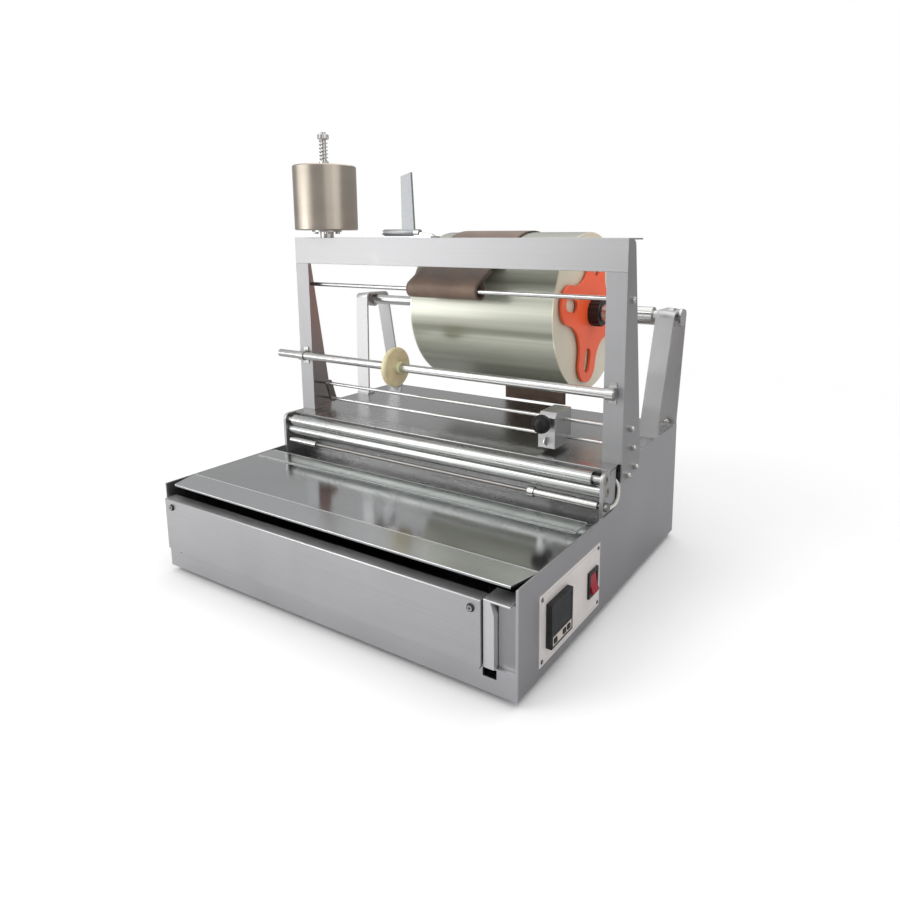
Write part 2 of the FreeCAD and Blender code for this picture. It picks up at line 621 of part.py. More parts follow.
def rounded(body, radius, pick):
    """Round the edges of a body that a test picks by their two end points."""
    doc.recompute()
    base = body.Tip
    chosen = []
    for index, edge in enumerate(base.Shape.Edges, start=1):
        ends = [vertex.Point for vertex in edge.Vertexes]
        if len(ends) == 2 and pick(*ends):
            chosen.append(f"Edge{index}")
    fillet = body.newObject("PartDesign::Fillet", f"{body.Name}_round{len(body.Group)}")
    fillet.Base = (base, chosen)
    bind(fillet, Radius=radius)
    body.Tip = fillet
    return body


def turned(name, axis, at, points):
    """A body turned about an axis from an outline of (radius, distance along the axis) pairs."""
    body = doc.addObject("PartDesign::Body", name)
    sketch = sketch_outline(body, f"{name}_outline", "xz", points)
    turning = body.newObject("PartDesign::Revolution", f"{name}_turning")
    turning.Profile = sketch
    turning.ReferenceAxis = (sketch, ["V_Axis"])
    turning.Angle = 360
    put(body, at, AXIS_TURNS[axis])
    return body


def modelled(name, shape, at=ORIGIN, turn=None):
    """A piece whose shape no primitive fits."""
    item = doc.addObject("Part::Feature", name)
    item.Shape = shape
    return put(item, at, turn)


def publish(label, item):
    """Name a finished piece and note it for its file."""
    item.Label = label
    nodes.append(item)
    return item


def side_word(side):
    return "left" if side < 0 else "right"


def prism(name, axis, at, length, over_corners):
    """A hexagonal bar that starts at a point and runs along an axis."""
    item = bind(doc.addObject("Part::Prism", name), Circumradius=f"({over_corners}) / 2", Height=length)
    return put(item, at, AXIS_TURNS[axis])


def acorn_nut(name, side, at):
    """A domed nut that stands on a side flange."""
    x, y, z = at
    start = x if side > 0 else f"{x} - nut_height"
    flats = prism(f"{name}_hex", "x", (start, y, z), "nut_height", "nut_flats / cos(30)")
    dome = ball(f"{name}_dome", (f"{x} + {side} * nut_height", y, z), "nut_dome_dia")
    return join(name, flats, dome)


def frame_bolt(name, side, y, z):
    """An acorn nut with the shank that goes in through flange and side wall."""
    face = f"mid_x + {side} * flange_outside"
    start = face if side < 0 else f"{face} - 2 * gauge"
    shank = rod(f"{name}_shank", "x", (start, y, z), "2 * gauge", "bolt_dia")
    return join(name, acorn_nut(f"{name}_nut", side, (face, y, z)), shank)


def side_hole(name, side, y, z, diameter):
    """A drill that goes through flange, tab and side wall at one place."""
    start = f"mid_x + {side} * flange_outside - drill / 2"
    return rod(name, "x", (start, y, z), "drill", f"{diameter} + 2 * bore_gap")


def bolt_places():
    """The frame's bolts: name, depth and height of each."""
    return [
        ("foot_rear", "frame_y + bolt_rear_inset", "deck_z - bolt_rear_drop"),
        ("foot_front", "frame_y + bolt_front_inset", "deck_z - bolt_front_drop"),
    ]


def side_wall(side):
    """One side sheet, stepped down behind its curved notch and low beside the table."""
    outline = [
        ("front_y", "base_z"), ("rear_y", "base_z"), ("rear_y", "deck_z"),
        ("frame_y + step_reach", "deck_z"),
        ("frame_y + step_reach", "deck_z - step_drop"),
        ("riser_y + notch_top", "deck_z - step_drop"), ("riser_y + notch_reach", "table_z + notch_rise"),
        ("riser_y - notch_lead", "table_z"), ("front_y", "table_z"),
    ]
    start = "mid_x - half_width" if side < 0 else "mid_x + wall_inside"
    wall = padded(f"wall_{side_word(side)}", "yz", outline, "gauge", (start, "0", "0"))
    return rounded(wall, "notch_round", lambda a, b: abs(a.x - b.x) > 1
                   and abs(a.y - value("riser_y + notch_reach")) < 0.01
                   and abs(b.y - value("riser_y + notch_reach")) < 0.01)


def side_sheets(side):
    """A side wall with the wing, ledges and front strip that are folded or welded to it."""
    word = side_word(side)

    def start(width):
        return "mid_x - wall_inside" if side < 0 else f"mid_x + wall_inside - {width}"

    wing = box(f"wing_{word}", (start("wing_width"), "front_y + gauge", "base_z"),
               ("wing_width", "base_depth - 2 * gauge", "gauge"))
    table_ledge = box(f"table_ledge_{word}",
                      (start("ledge_width"), "front_y + ledge_setback", "table_z - table_gauge - gauge"),
                      ("ledge_width", "table_rear_y - channel_hook - ledge_spare - front_y - ledge_setback",
                       "gauge"))
    deck_ledge = box(f"deck_ledge_{word}",
                     (start("ledge_width"), "deck_y + deck_ledge_setback", "deck_z - 2 * gauge"),
                     ("ledge_width", "rear_y - gauge - deck_y - deck_ledge_setback", "gauge"))
    jamb = box(f"jamb_{word}", (start("jamb_width"), "front_y + jamb_setback", "apron_z"),
               ("jamb_width", "gauge", "front_plate_height - seat_gap"))
    return join(f"side_sheets_{word}", side_wall(side), wing, table_ledge, deck_ledge, jamb)


def front_sheets():
    """The apron with its fold and the two tabs that the front plate is screwed to."""
    inside = "mid_x - wall_inside"
    pieces = [
        box("apron", (inside, "front_y", "base_z"), ("2 * wall_inside", "gauge", "apron_height")),
        box("apron_shelf", (inside, "front_y", "apron_z - gauge"), ("2 * wall_inside", "shelf_depth", "gauge")),
    ]
    for side, middle in plate_screw_places():
        word = side_word(side)
        at = (f"{middle} - plate_tab_width / 2", "plate_y + cover_gauge", "apron_z - gauge")
        pieces.append(box(f"tab_foot_{word}", at, ("plate_tab_width", "front_stand", "gauge")))
        pieces.append(box(f"tab_{word}", at, ("plate_tab_width", "gauge", "front_plate_height - plate_tab_spare")))
    return join("front_sheets", *pieces)


def plate_screw_places():
    """Side and place across of the front plate's two screws."""
    return [
        (-1, "mid_x - plate_left + plate_screw_left"),
        (1, "mid_x + plate_right - plate_screw_right"),
    ]


def controller_hole(name, x):
    """The square hole for the controller, through a sheet near a place across."""
    y = "controller_y + controller_trim - seat_gap"
    z = "controller_z + controller_trim - seat_gap"
    across = "controller_cutout + 2 * seat_gap"
    return box(name, (f"{x} - drill / 2", y, z), ("drill", across, across))


def switch_hole(name, x):
    """The hole for the rocker switch, through a sheet near a place across."""
    y = "switch_y + switch_rim - seat_gap"
    z = "switch_z + switch_rim - seat_gap"
    size = ("drill", "switch_width - 2 * (switch_rim - seat_gap)", "switch_height - 2 * (switch_rim - seat_gap)")
    return box(name, (f"{x} - drill / 2", y, z), size)


def make_shell():
    """The base's four sheets, which meet face to face."""
    wall_face = "mid_x + half_width"
    side_tools = {-1: [], 1: [controller_hole("shell_controller_hole", wall_face),
                              switch_hole("shell_switch_hole", wall_face)]}
    for side in (-1, 1):
        for name, y, z in bolt_places():
            side_tools[side].append(side_hole(f"shell_hole_{name}_{side_word(side)}", side, y, z, "bolt_dia"))
    sheets = [cut(f"shell_side_{side_word(side)}", side_sheets(side), *side_tools[side]) for side in (-1, 1)]
    rear = box("wall_rear", ("mid_x - wall_inside", "rear_y - gauge", "base_z"),
               ("2 * wall_inside", "gauge", "deck_height - gauge"))
    gland_hole = rod("gland_hole", "y", ("gland_x", "rear_y - drill / 2", "gland_z"), "drill",
                     "gland_thread + 2 * bore_gap")
    slot = box("cheek_slot", ("mid_x + plate_right - gauge", "front_y - 1", "apron_z - cheek_slot_drop"),
               ("cheek_width + 2 * gauge", "gauge + 1", "cheek_slot_height"))
    sheets.append(cut("shell_rear", rear, gland_hole))
    sheets.append(cut("shell_front", front_sheets(), slot))
    publish("base_shell", group("base_shell", *sheets))


def make_deck():
    """Rear deck, which folds down as the riser and forward as the channel behind the table."""
    hook_y = "table_rear_y - channel_hook"
    outline = [
        ("deck_y", "deck_z - lip_drop"), ("deck_y", "deck_z"), ("rear_y", "deck_z"), ("rear_y", "deck_z - gauge"),
        ("riser_y + gauge", "deck_z - gauge"), ("riser_y + gauge", "channel_z - gauge"),
        (hook_y, "channel_z - gauge"), (hook_y, "table_z - table_gauge"),
        (f"{hook_y} + gauge", "table_z - table_gauge"), (f"{hook_y} + gauge", "channel_z"),
        ("riser_y", "channel_z"), ("riser_y", "deck_z - gauge"), ("deck_y + gauge", "deck_z - gauge"),
        ("deck_y + gauge", "deck_z - lip_drop"),
    ]
    deck = padded("deck_sheet", "yz", outline, "2 * (wall_inside - seat_gap)",
                  ("mid_x - wall_inside + seat_gap", "0", "0"))
    publish("rear_deck", rounded(deck, "lip_round", lambda a, b: abs(a.y - value("deck_y")) < 0.01
                                 and abs(b.y - a.y) < 0.01 and abs(a.z - value("deck_z")) < 0.01
                                 and abs(b.z - a.z) < 0.01))


def make_table():
    """Table plate with its shallow front bend and cut corners, and the film strip on it."""
    edge, bend = "front_y + table_front_gap", "front_y + table_front_gap + table_bend"
    outline = [
        (edge, "table_z - table_drop - table_gauge"), (bend, "table_z - table_gauge"),
        ("table_rear_y", "table_z - table_gauge"), ("table_rear_y", "table_z"), (bend, "table_z"),
        (edge, "table_z - table_drop"),
    ]
    half = "(wall_inside - seat_gap)"
    plate = padded("table_sheet", "yz", outline, f"2 * {half}", (f"mid_x - {half}", "0", "0"))
    plate = rounded(plate, "table_round", lambda a, b: abs(a.x - b.x) > 9
                    and abs(a.y - value(edge)) < 0.01 and abs(b.y - value(edge)) < 0.01
                    and a.z > value("table_z - table_drop - gauge"))
    corners = []
    for side in (-1, 1):
        outline = [
            (f"{side} * ({half} - corner_inset)", edge), (f"{side} * {half}", f"{edge} + corner_cut"),
            (f"{side} * ({half} + drill)", f"{edge} + corner_cut"), (f"{side} * ({half} + drill)", f"{edge} - drill"),
            (f"{side} * ({half} - corner_inset)", f"{edge} - drill"),
        ]
        corners.append(padded(f"table_corner_{side_word(side)}", "xy", outline, "drill",
                              ("mid_x", "0", "table_z - drill / 2")))
    publish("table_plate", cut("table_plate", plate, *corners))
    publish("film_strip", box("film_strip", ("mid_x - wall_inside + strip_inset", "front_y + strip_setback", "table_z"),
                              ("2 * (wall_inside - strip_inset)", "strip_width", "strip_gauge")))


def make_front():
    """Front plate with turned edges, and the bar and cap beside it."""
    outline = [
        ("0", "0"), ("cover_gauge", "0"), ("cover_gauge", "front_plate_height - cover_gauge"),
        ("front_flange", "front_plate_height - cover_gauge"), ("front_flange", "front_plate_height"),
        ("0", "front_plate_height"),
    ]
    plate_z = "apron_z + plate_lift"
    plate = padded("front_sheet", "yz", outline, "plate_left + plate_right", ("mid_x - plate_left", "plate_y", plate_z))
    plate = rounded(plate, "plate_round", lambda a, b: abs(a.y) < 0.01 and abs(b.y) < 0.01
                    and abs(a.z - value("front_plate_height")) < 0.01 and abs(b.z - a.z) < 0.01)
    returns = [box(f"plate_return_{word}", (x, "plate_y", plate_z),
                   ("cover_gauge", "front_stand - seat_gap", "front_plate_height - plate_round"))
               for word, x in (("left", "mid_x - plate_left"), ("right", "mid_x + plate_right - cover_gauge"))]
    publish("front_plate", join("front_plate", plate, *returns))

    at = ("mid_x + plate_right + cheek_gap", "front_y - cheek_lead", "apron_z")
    outline = [
        ("0", "0"), ("cheek_width", "0"), ("cheek_width", "front_plate_height - cheek_chamfer_drop"),
        ("cheek_width - cheek_chamfer", "front_plate_height"), ("0", "front_plate_height"),
    ]
    bar = padded("cheek_bar", "xz", outline, "cheek_depth", at)
    cap = box("cheek_cap", (at[0], at[1], f"{at[2]} + front_plate_height"),
              ("cheek_cap_width", "cheek_cap_depth", "gauge"))
    publish("front_cheek", join("front_cheek", bar, cap))


def make_underside():
    """Bottom cover and rubber feet."""
    publish("bottom_cover", box("bottom_cover",
                                ("mid_x - wall_inside + seat_gap", "front_y + gauge + seat_gap", "base_z + gauge"),
                                ("2 * (wall_inside - seat_gap)", "base_depth - 2 * (gauge + seat_gap)",
                                 "cover_gauge")))
    outline = [("0", "0"), ("foot_dia / 2 - foot_taper", "0"), ("foot_dia / 2", "foot_height"), ("0", "foot_height")]
    feet = []
    for side in (-1, 1):
        for end, y in (("front", "front_y + foot_inset"), ("rear", "rear_y - foot_inset")):
            x = f"mid_x + {side} * (wall_inside - wing_width / 2)"
            feet.append(turned(f"foot_{end}_{side_word(side)}", "z", (x, y, "0"), outline))
    publish("rubber_feet", group("rubber_feet", *feet))


def screw_head(name, turn, at, diameter, height):
    """A low round head with a bevelled rim."""
    item = doc.addObject("Part::Cone", name)
    bind(item, Radius1=f"{diameter} / 2", Radius2=f"{diameter} / 2 - screw_head_bevel", Height=height)
    return put(item, at, turn)


def make_control_panel():
    """Label plate, controller, keys and rocker on the right side."""
    plate = box("panel_sheet", ("mid_x + half_width", "panel_y", "panel_z"),
                ("panel_gauge", "panel_width", "panel_height"))
    publish("control_plate", cut("control_plate", plate, controller_hole("panel_controller_hole", "panel_face"),
                                 switch_hole("panel_switch_hole", "panel_face")))
    screws = []
    for row, z in enumerate(("panel_z + panel_screw_inset", "panel_z + panel_height - panel_screw_inset")):
        for column, y in enumerate(("panel_y + panel_screw_inset", "panel_y + panel_width - panel_screw_inset")):
            screws.append(screw_head(f"panel_screw_{row}{column}", AXIS_TURNS["x"], ("panel_face", y, z),
                                     "panel_screw_dia", "panel_screw_rise"))
    for side, x in plate_screw_places():
        at = (x, "plate_y", "apron_z + front_plate_height - plate_screw_drop")
        screws.append(screw_head(f"plate_screw_{side_word(side)}", Rotation(Vector(1, 0, 0), 90), at,
                                 "screw_head_dia", "screw_head_rise"))
    publish("cover_screws", group("cover_screws", *screws))
    make_controller()
    make_switch()


def make_controller():
    """Panel controller with its window and three keys: one alone, then a pair."""
    wall = "mid_x + half_width"
    case = box("controller_case", (f"{wall} - controller_depth", "controller_y + controller_trim",
                                   "controller_z + controller_trim"),
               ("controller_depth + panel_gauge + 1", "controller_cutout", "controller_cutout"))
    bezel = box("controller_bezel", ("panel_face", "controller_y", "controller_z"),
                ("controller_stand - panel_gauge", "controller_face", "controller_face"))
    glass = ("controller_front - window_recess", "controller_y + window_margin", "controller_z + window_rise")
    width, height = "controller_face - 2 * window_margin", "controller_face - window_margin - window_rise"
    tools = [box("window_recess", glass, ("drill", width, height))]
    keys = []
    at_z = "controller_z + key_rise"
    for word, offset in (("set", "key_first"), ("down", "key_second"), ("up", "key_third")):
        at_y = f"controller_y + {offset}"
        tools.append(box(f"key_well_{word}", ("controller_front - key_length", f"{at_y} - key_gap", f"{at_z} - key_gap"),
                         ("drill", "key_width + 2 * key_gap", "key_height + 2 * key_gap")))
        keys.append((word, box(f"key_{word}", ("controller_front - key_length + key_travel + key_gap", at_y, at_z),
                               ("key_length", "key_width", "key_height"))))
    publish("controller_body", cut("controller_body", join("controller_block", case, bezel), *tools))
    publish("controller_window", box("controller_window",
                                     (glass[0], f"{glass[1]} + window_gap", f"{glass[2]} + window_gap"),
                                     ("window_recess - seat_gap", f"{width} - 2 * window_gap",
                                      f"{height} - 2 * window_gap")))
    for word, key in keys:
        publish(f"controller_key_{word}", key)


def make_switch():
    """Rocker switch, whose rocker leans with its lower half out."""
    bezel = box("switch_frame", ("panel_face", "switch_y", "switch_z"),
                ("switch_stand", "switch_width", "switch_height"))
    case = box("switch_case", ("mid_x + half_width - switch_depth", "switch_y + switch_rim", "switch_z + switch_rim"),
               ("switch_depth + panel_gauge + 0.5", "switch_width - 2 * switch_rim", "switch_height - 2 * switch_rim"))
    edge = "(switch_rim + switch_wall)"
    well = box("switch_well_hollow", ("mid_x + half_width - switch_well", f"switch_y + {edge}", f"switch_z + {edge}"),
               ("2 * drill", f"switch_width - 2 * {edge}", f"switch_height - 2 * {edge}"))
    publish("switch_body", cut("switch_body", join("switch_shell", bezel, case), well))
    outline = [
        ("-rocker_half", "-rocker_root / 2"), ("0", "-rocker_root"), ("rocker_half", "-rocker_root / 2"),
        ("rocker_half", "rocker_rise"), ("0", "rocker_rise - rocker_dish"), ("-rocker_half", "rocker_rise"),
    ]
    margin = f"({edge} + rocker_gap)"
    publish("switch_rocker", padded("rocker", "xz", outline, f"switch_width - 2 * {margin}",
                                    ("panel_face + rocker_lift", f"switch_y + {margin}", "switch_z + switch_height / 2"),
                                    Rotation(Vector(0, 1, 0), 90 - value("rocker_throw"))))


def make_post(side):
    """One post: a front face, the tapering side flange, and the fold that stands on the deck."""
    word = side_word(side)
    outline = [
        ("frame_y + gauge", "deck_z - flange_drop"), ("frame_y + flange_toe", "deck_z - flange_drop"),
        ("frame_y + flange_heel", "deck_z - flange_heel_drop"), ("frame_y + flange_foot", "deck_z"),
        ("frame_y + flange_top", "beam_z - gauge"), ("frame_y + gauge", "beam_z - gauge"),
    ]
    flange_x = "mid_x - flange_outside" if side < 0 else "mid_x + half_width"
    flange = padded(f"post_flange_{word}", "yz", outline, "gauge", (flange_x, "0", "0"))
    flange = rounded(flange, "flange_round", lambda a, b: abs(a.x - b.x) > 1
                     and abs(a.y - value("frame_y + flange_top")) < 0.01
                     and abs(a.z - value("beam_z - gauge")) < 0.01)
    face_x = "mid_x - flange_outside" if side < 0 else "mid_x + flange_outside - post_width - gauge"
    face = box(f"post_face_{word}", (face_x, "frame_y", "deck_z"),
               ("post_width + gauge", "gauge", "frame_height - deck_height - beam_face"))
    edge = box(f"post_edge_{word}", (flange_x, "frame_y", "deck_z - flange_drop"), ("gauge", "gauge", "flange_drop"))
    foot_x = "mid_x - half_width" if side < 0 else "mid_x + half_width - post_width"
    foot = box(f"post_foot_{word}", (foot_x, "frame_y + gauge", "deck_z"), ("post_width", "post_foot_depth", "gauge"))
    holes = [side_hole(f"post_hole_{name}_{word}", side, y, z, "bolt_dia") for name, y, z in bolt_places()]
    for level in ("low", "high"):
        holes.append(side_hole(f"post_hole_{level}_{word}", side, f"cutter_{level}_y", f"cutter_{level}_z",
                               "cutter_rod_dia"))
    holes.append(side_hole(f"post_hole_upper_{word}", side, "upper_rod_y", "upper_rod_z", "upper_rod_dia"))
    publish(f"frame_post_{word}", cut(f"post_{word}", join(f"post_sheets_{word}", flange, face, edge, foot), *holes))


def make_beam():
    """Top beam with the end tabs welded inside the posts."""
    left = "mid_x - flange_outside"
    pieces = [
        box("beam_face_sheet", (left, "frame_y", "beam_z - beam_face"), ("2 * flange_outside", "gauge", "beam_face")),
        box("beam_top", (left, "frame_y", "beam_z - gauge"), ("2 * flange_outside", "beam_depth", "gauge")),
    ]
    for word, x in (("left", "mid_x - half_width"), ("right", "mid_x + wall_inside")):
        pieces.append(box(f"beam_tab_{word}", (x, "frame_y + gauge", "beam_z - beam_face - tab_drop"),
                          ("gauge", "tab_width", "beam_face + tab_drop - gauge")))
    hole = rod("beam_spindle_hole", "z", ("spool_x", "spool_y", "beam_z - drill / 2"), "drill",
               "spindle_dia + 2 * bore_gap")
    publish("frame_top_beam", cut("beam", join("beam_sheets", *pieces), hole))


def foot_bolt(name, x, y):
    """A domed bolt that holds a stand's foot on the deck."""
    z = "deck_z + stand_foot_gauge"
    head = prism(f"{name}_hex", "z", (x, y, z), "nut_height", "nut_flats / cos(30)")
    return join(name, head, ball(f"{name}_dome", (x, y, f"{z} + nut_height"), "nut_dome_dia"))


def make_fasteners():
    """Acorn nuts and bolts of the frame, the rods and the stands."""
    fasteners = []
    for side in (-1, 1):
        word = side_word(side)
        for name, y, z in bolt_places():
            fasteners.append(frame_bolt(f"bolt_{name}_{word}", side, y, z))
        for level in ("low", "high"):
            at = (f"mid_x + {side} * flange_outside", f"cutter_{level}_y", f"cutter_{level}_z")
            fasteners.append(acorn_nut(f"rod_nut_{level}_{word}", side, at))
        for end, y in (("front", "roll_y - stand_front + stand_foot - foot_bolt_inset"),
                       ("rear", "roll_y + stand_rear - stand_foot + foot_bolt_inset")):
            fasteners.append(foot_bolt(f"stand_bolt_{end}_{word}", f"mid_x + {side} * stand_place", y))
    outline = [
        ("0", "0"), ("rod_nut_dia / 2", "0"), ("rod_nut_dia / 2", "rod_nut_length * 0.6"),
        ("rod_nut_dia / 4", "rod_nut_length"), ("0", "rod_nut_length"),
    ]
    fasteners.append(turned("upper_rod_nut", "x", ("mid_x + flange_outside", "upper_rod_y", "upper_rod_z"), outline))
    publish("frame_acorn_nuts", group("frame_acorn_nuts", *fasteners))


def make_frame():
    """Posts, beam and their fasteners."""
    make_post(-1)
    make_post(1)
    make_beam()
    make_fasteners()


def make_rods():
    """Upper film rod and the tape guide bar with its clips and wheel."""
    at = ("mid_x - flange_outside", "upper_rod_y", "upper_rod_z")
    publish("upper_film_rod", rod("upper_film_rod", "x", at, "2 * flange_outside", "upper_rod_dia"))
    rim = "rod_knob_dia / 2"
    outline = [
        ("0", "0"), (f"{rim} - rod_knob_round", "0"), (rim, "rod_knob_round"),
        (rim, "rod_knob_length - rod_knob_round"), (f"{rim} - rod_knob_round", "rod_knob_length"),
        ("0", "rod_knob_length"),
    ]
    publish("upper_rod_knob", turned("upper_rod_knob", "x", (f"{at[0]} - rod_knob_length", at[1], at[2]), outline))

    publish("tape_guide_bar", rod("bar_body", "x", ("mid_x - guide_bar_left", "guide_bar_y", "guide_bar_z"),
                                  "guide_bar_left + guide_bar_right", "guide_bar_dia"))
    bore = "guide_bar_dia + 2 * run_gap"
    clips = []
    for side in (-1, 1):
        word = side_word(side)
        x = f"mid_x + {side} * clip_place - clip_width / 2"
        plate = box(f"clip_plate_{word}", (x, "frame_y - clip_gauge", "guide_bar_z - clip_height / 2"),
                    ("clip_width", "clip_gauge", "clip_height"))
        ring = rod(f"clip_ring_{word}", "x", (x, "guide_bar_y", "guide_bar_z"), "clip_width",
                   f"{bore} + 2 * clip_gauge")
        hole = rod(f"clip_bore_{word}", "x", (f"{x} - 1", "guide_bar_y", "guide_bar_z"), "clip_width + 2", bore)
        clips.append(cut(f"clip_{word}", join(f"clip_solid_{word}", plate, ring), hole))
    publish("guide_bar_clips", group("guide_bar_clips", *clips))

    inner, rim, hub = f"({bore}) / 2", "wheel_dia / 2", "wheel_hub_dia / 2"
    end = "wheel_width + wheel_hub_width"
    outline = [
        (inner, "0"), (f"{rim} - wheel_round", "0"), (rim, "wheel_round"), (rim, "wheel_width - wheel_round"),
        (f"{rim} - wheel_round", "wheel_width"), (hub, "wheel_width"), (hub, f"{end} - wheel_round / 2"),
        (f"{hub} - wheel_round / 2", end), (inner, end),
    ]
    publish("tape_guide_wheel", turned("tape_guide_wheel", "x", ("mid_x + wheel_place", "guide_bar_y", "guide_bar_z"),
                                       outline))


def make_cutter():
    """Cutter slider on its two rods, with the link that stops it on the left."""
    left = "mid_x - flange_outside"
    pieces = [rod(f"cutter_rod_{level}", "x", (left, f"cutter_{level}_y", f"cutter_{level}_z"),
                  "2 * flange_outside", "cutter_rod_dia") for level in ("low", "high")]
    stop_x = "mid_x - half_width + stop_inset"
    outline = [
        ("cutter_low_y - stop_across", "cutter_low_z - stop_up"),
        ("cutter_low_y + stop_across", "cutter_low_z + stop_up"),
        ("cutter_high_y + stop_across", "cutter_high_z + stop_up"),
        ("cutter_high_y - stop_across", "cutter_high_z - stop_up"),
    ]
    web = padded("stop_web", "yz", outline, "stop_width", (stop_x, "0", "0"))
    ends = [rod(f"stop_end_{level}", "x", (stop_x, f"cutter_{level}_y", f"cutter_{level}_z"), "stop_width",
                "2 * stop_half") for level in ("low", "high")]
    holes = [rod(f"stop_hole_{level}", "x", (f"{stop_x} - 1", f"cutter_{level}_y", f"cutter_{level}_z"),
                 "stop_width + 2", "cutter_rod_dia + 2 * bore_gap") for level in ("low", "high")]
    pieces.append(cut("rod_stop", join("stop_solid", web, *ends), *holes))
    publish("cutter_rods", group("cutter_rods", *pieces))

    at = ("slider_x", "slider_y", "slider_z")
    outline = [
        ("0", "0"), ("slider_depth", "0"), ("slider_depth", "slider_height"), ("slider_bevel", "slider_height"),
        ("0", "slider_height - slider_bevel"),
    ]
    block = padded("slider_block", "yz", outline, "slider_width", at)
    tools = [rod(f"slider_bore_{level}", "x", ("slider_x - 1", f"cutter_{level}_y", f"cutter_{level}_z"),
                 "slider_width + 2", "cutter_rod_dia + 2 * run_gap") for level in ("low", "high")]
    middle = "slider_x + (slider_width - blade_gauge) / 2"
    tools.append(box("blade_slit", (middle, "slider_y - drill", "slider_z + blade_rise"),
                     ("blade_gauge", "drill + blade_root", "blade_height")))
    publish("cutter_slider", cut("slider", block, *tools))
    outline = [
        ("0", "0"), ("blade_root", "0"), ("blade_root", "blade_height"), ("0", "blade_height"),
        ("-blade_reach * 0.75", "blade_height * 0.85"), ("-blade_reach", "blade_height / 2"),
    ]
    publish("cutter_blade", padded("cutter_blade", "yz", outline, "blade_gauge",
                                   (middle, "slider_y", "slider_z + blade_rise")))
    x, z = "slider_x + slider_width / 2", "slider_z + slider_height - knob_drop"
    neck = rod("knob_neck", "y", (x, "slider_y - knob_neck_length - knob_sink", z), "knob_neck_length + knob_sink",
               "knob_neck_dia")
    head = ball("knob_ball", (x, "slider_y - knob_neck_length - knob_dia / 2 + knob_sink", z), "knob_dia")
    publish("cutter_knob", join("cutter_knob", neck, head))


def spring_shape():
    """A compression spring, whose wire starts at the plane z = 0."""
    wire = value("spring_wire")
    radius = value("(spring_dia - spring_wire) / 2")
    height = value("spring_length - 2 * spring_seat") - wire
    helix = Part.makeHelix(height / value("spring_turns"), height, radius)
    circle = Part.Wire(Part.makeCircle(wire / 2, Vector(radius, 0, 0), Vector(0, 1, 0)))
    return Part.Wire(helix.Edges).makePipeShell([circle], True, True)


def make_spool():
    """Tape spool on its spindle, with the pressure cone, brake spring and nut."""
    at = ("spool_x", "spool_y")
    post = rod("stem_post", "z", (*at, "beam_z"), "stem_height", "stem_dia")
    disc = rod("stem_disc", "z", (*at, "beam_z + stem_height"), "stem_flange_gauge - seat_gap", "stem_flange_dia")
    studs = []
    for index in range(4):
        angle = f"(({index} + 0.5) * 90)"
        x, y = f"spool_x + stud_circle / 2 * cos({angle})", f"spool_y + stud_circle / 2 * sin({angle})"
        studs.append(rod(f"stud_{index}", "z", (x, y, "beam_z + stem_height - stud_length + 1"), "stud_length",
                         "stud_dia"))
    bore = rod("stem_bore", "z", (*at, "beam_z - 1"), "stem_height + stem_flange_gauge + 2",
               "spindle_dia + 2 * bore_gap")
    publish("spool_base", cut("spool_base", join("stem", post, disc, *studs), bore))
    shank = rod("spindle_shank", "z", (*at, "beam_z - gauge - spindle_foot"), "spindle_reach + gauge + spindle_foot",
                "spindle_dia")
    under = prism("spindle_nut", "z", (*at, "beam_z - gauge - spindle_nut_height"), "spindle_nut_height",
                  "spindle_nut_dia")
    publish("spool_spindle", join("spool_spindle", shank, under))

    bore, rim = "spindle_dia / 2 + run_gap", "spool_dia / 2"
    floor = "spool_height - spool_dish"
    outline = [
        (bore, "0"), (f"{rim} - spool_round", "0"), (rim, "spool_round"), (rim, "spool_height - spool_round"),
        (f"{rim} - spool_round", "spool_height"), (f"{rim} - spool_rim", "spool_height"),
        (f"{rim} - spool_rim - 1", floor), (bore, floor),
    ]
    publish("tape_spool", turned("tape_spool", "z", (*at, "spool_z"), outline))
    outline = [
        (bore, "0"), ("cone_dia / 2", "0"), ("cone_dia / 2", "cone_rim"),
        ("cone_top_dia / 2 + cone_rim", "cone_height / 2"), ("cone_top_dia / 2", "cone_height"), (bore, "cone_height"),
    ]
    publish("spool_pressure_cone", turned("spool_cone", "z", (*at, "cone_z"), outline))
    spring_z = "cone_z + cone_height + spring_seat + spring_wire / 2"
    publish("spool_spring", modelled("spool_spring", spring_shape(), (*at, spring_z)))
    rim = "spool_nut_dia / 2"
    outline = [
        (bore, "0"), (f"{rim} - 1", "0"), (rim, "1"), (rim, "spool_nut_height - 1"),
        (f"{rim} - 1", "spool_nut_height"), (bore, "spool_nut_height"),
    ]
    nut = turned("spool_nut_blank", "z", (*at, "nut_z"), outline)
    flutes = []
    for index in range(int(value("flute_count"))):
        angle = f"({index} * 360 / flute_count)"
        place = (f"spool_x + (spool_nut_dia + 1) / 2 * cos({angle})",
                 f"spool_y + (spool_nut_dia + 1) / 2 * sin({angle})", "nut_z - 1")
        flutes.append(rod(f"nut_flute_{index}", "z", place, "spool_nut_height + 2", "flute_dia"))
    publish("spool_nut", cut("spool_nut", nut, *flutes))


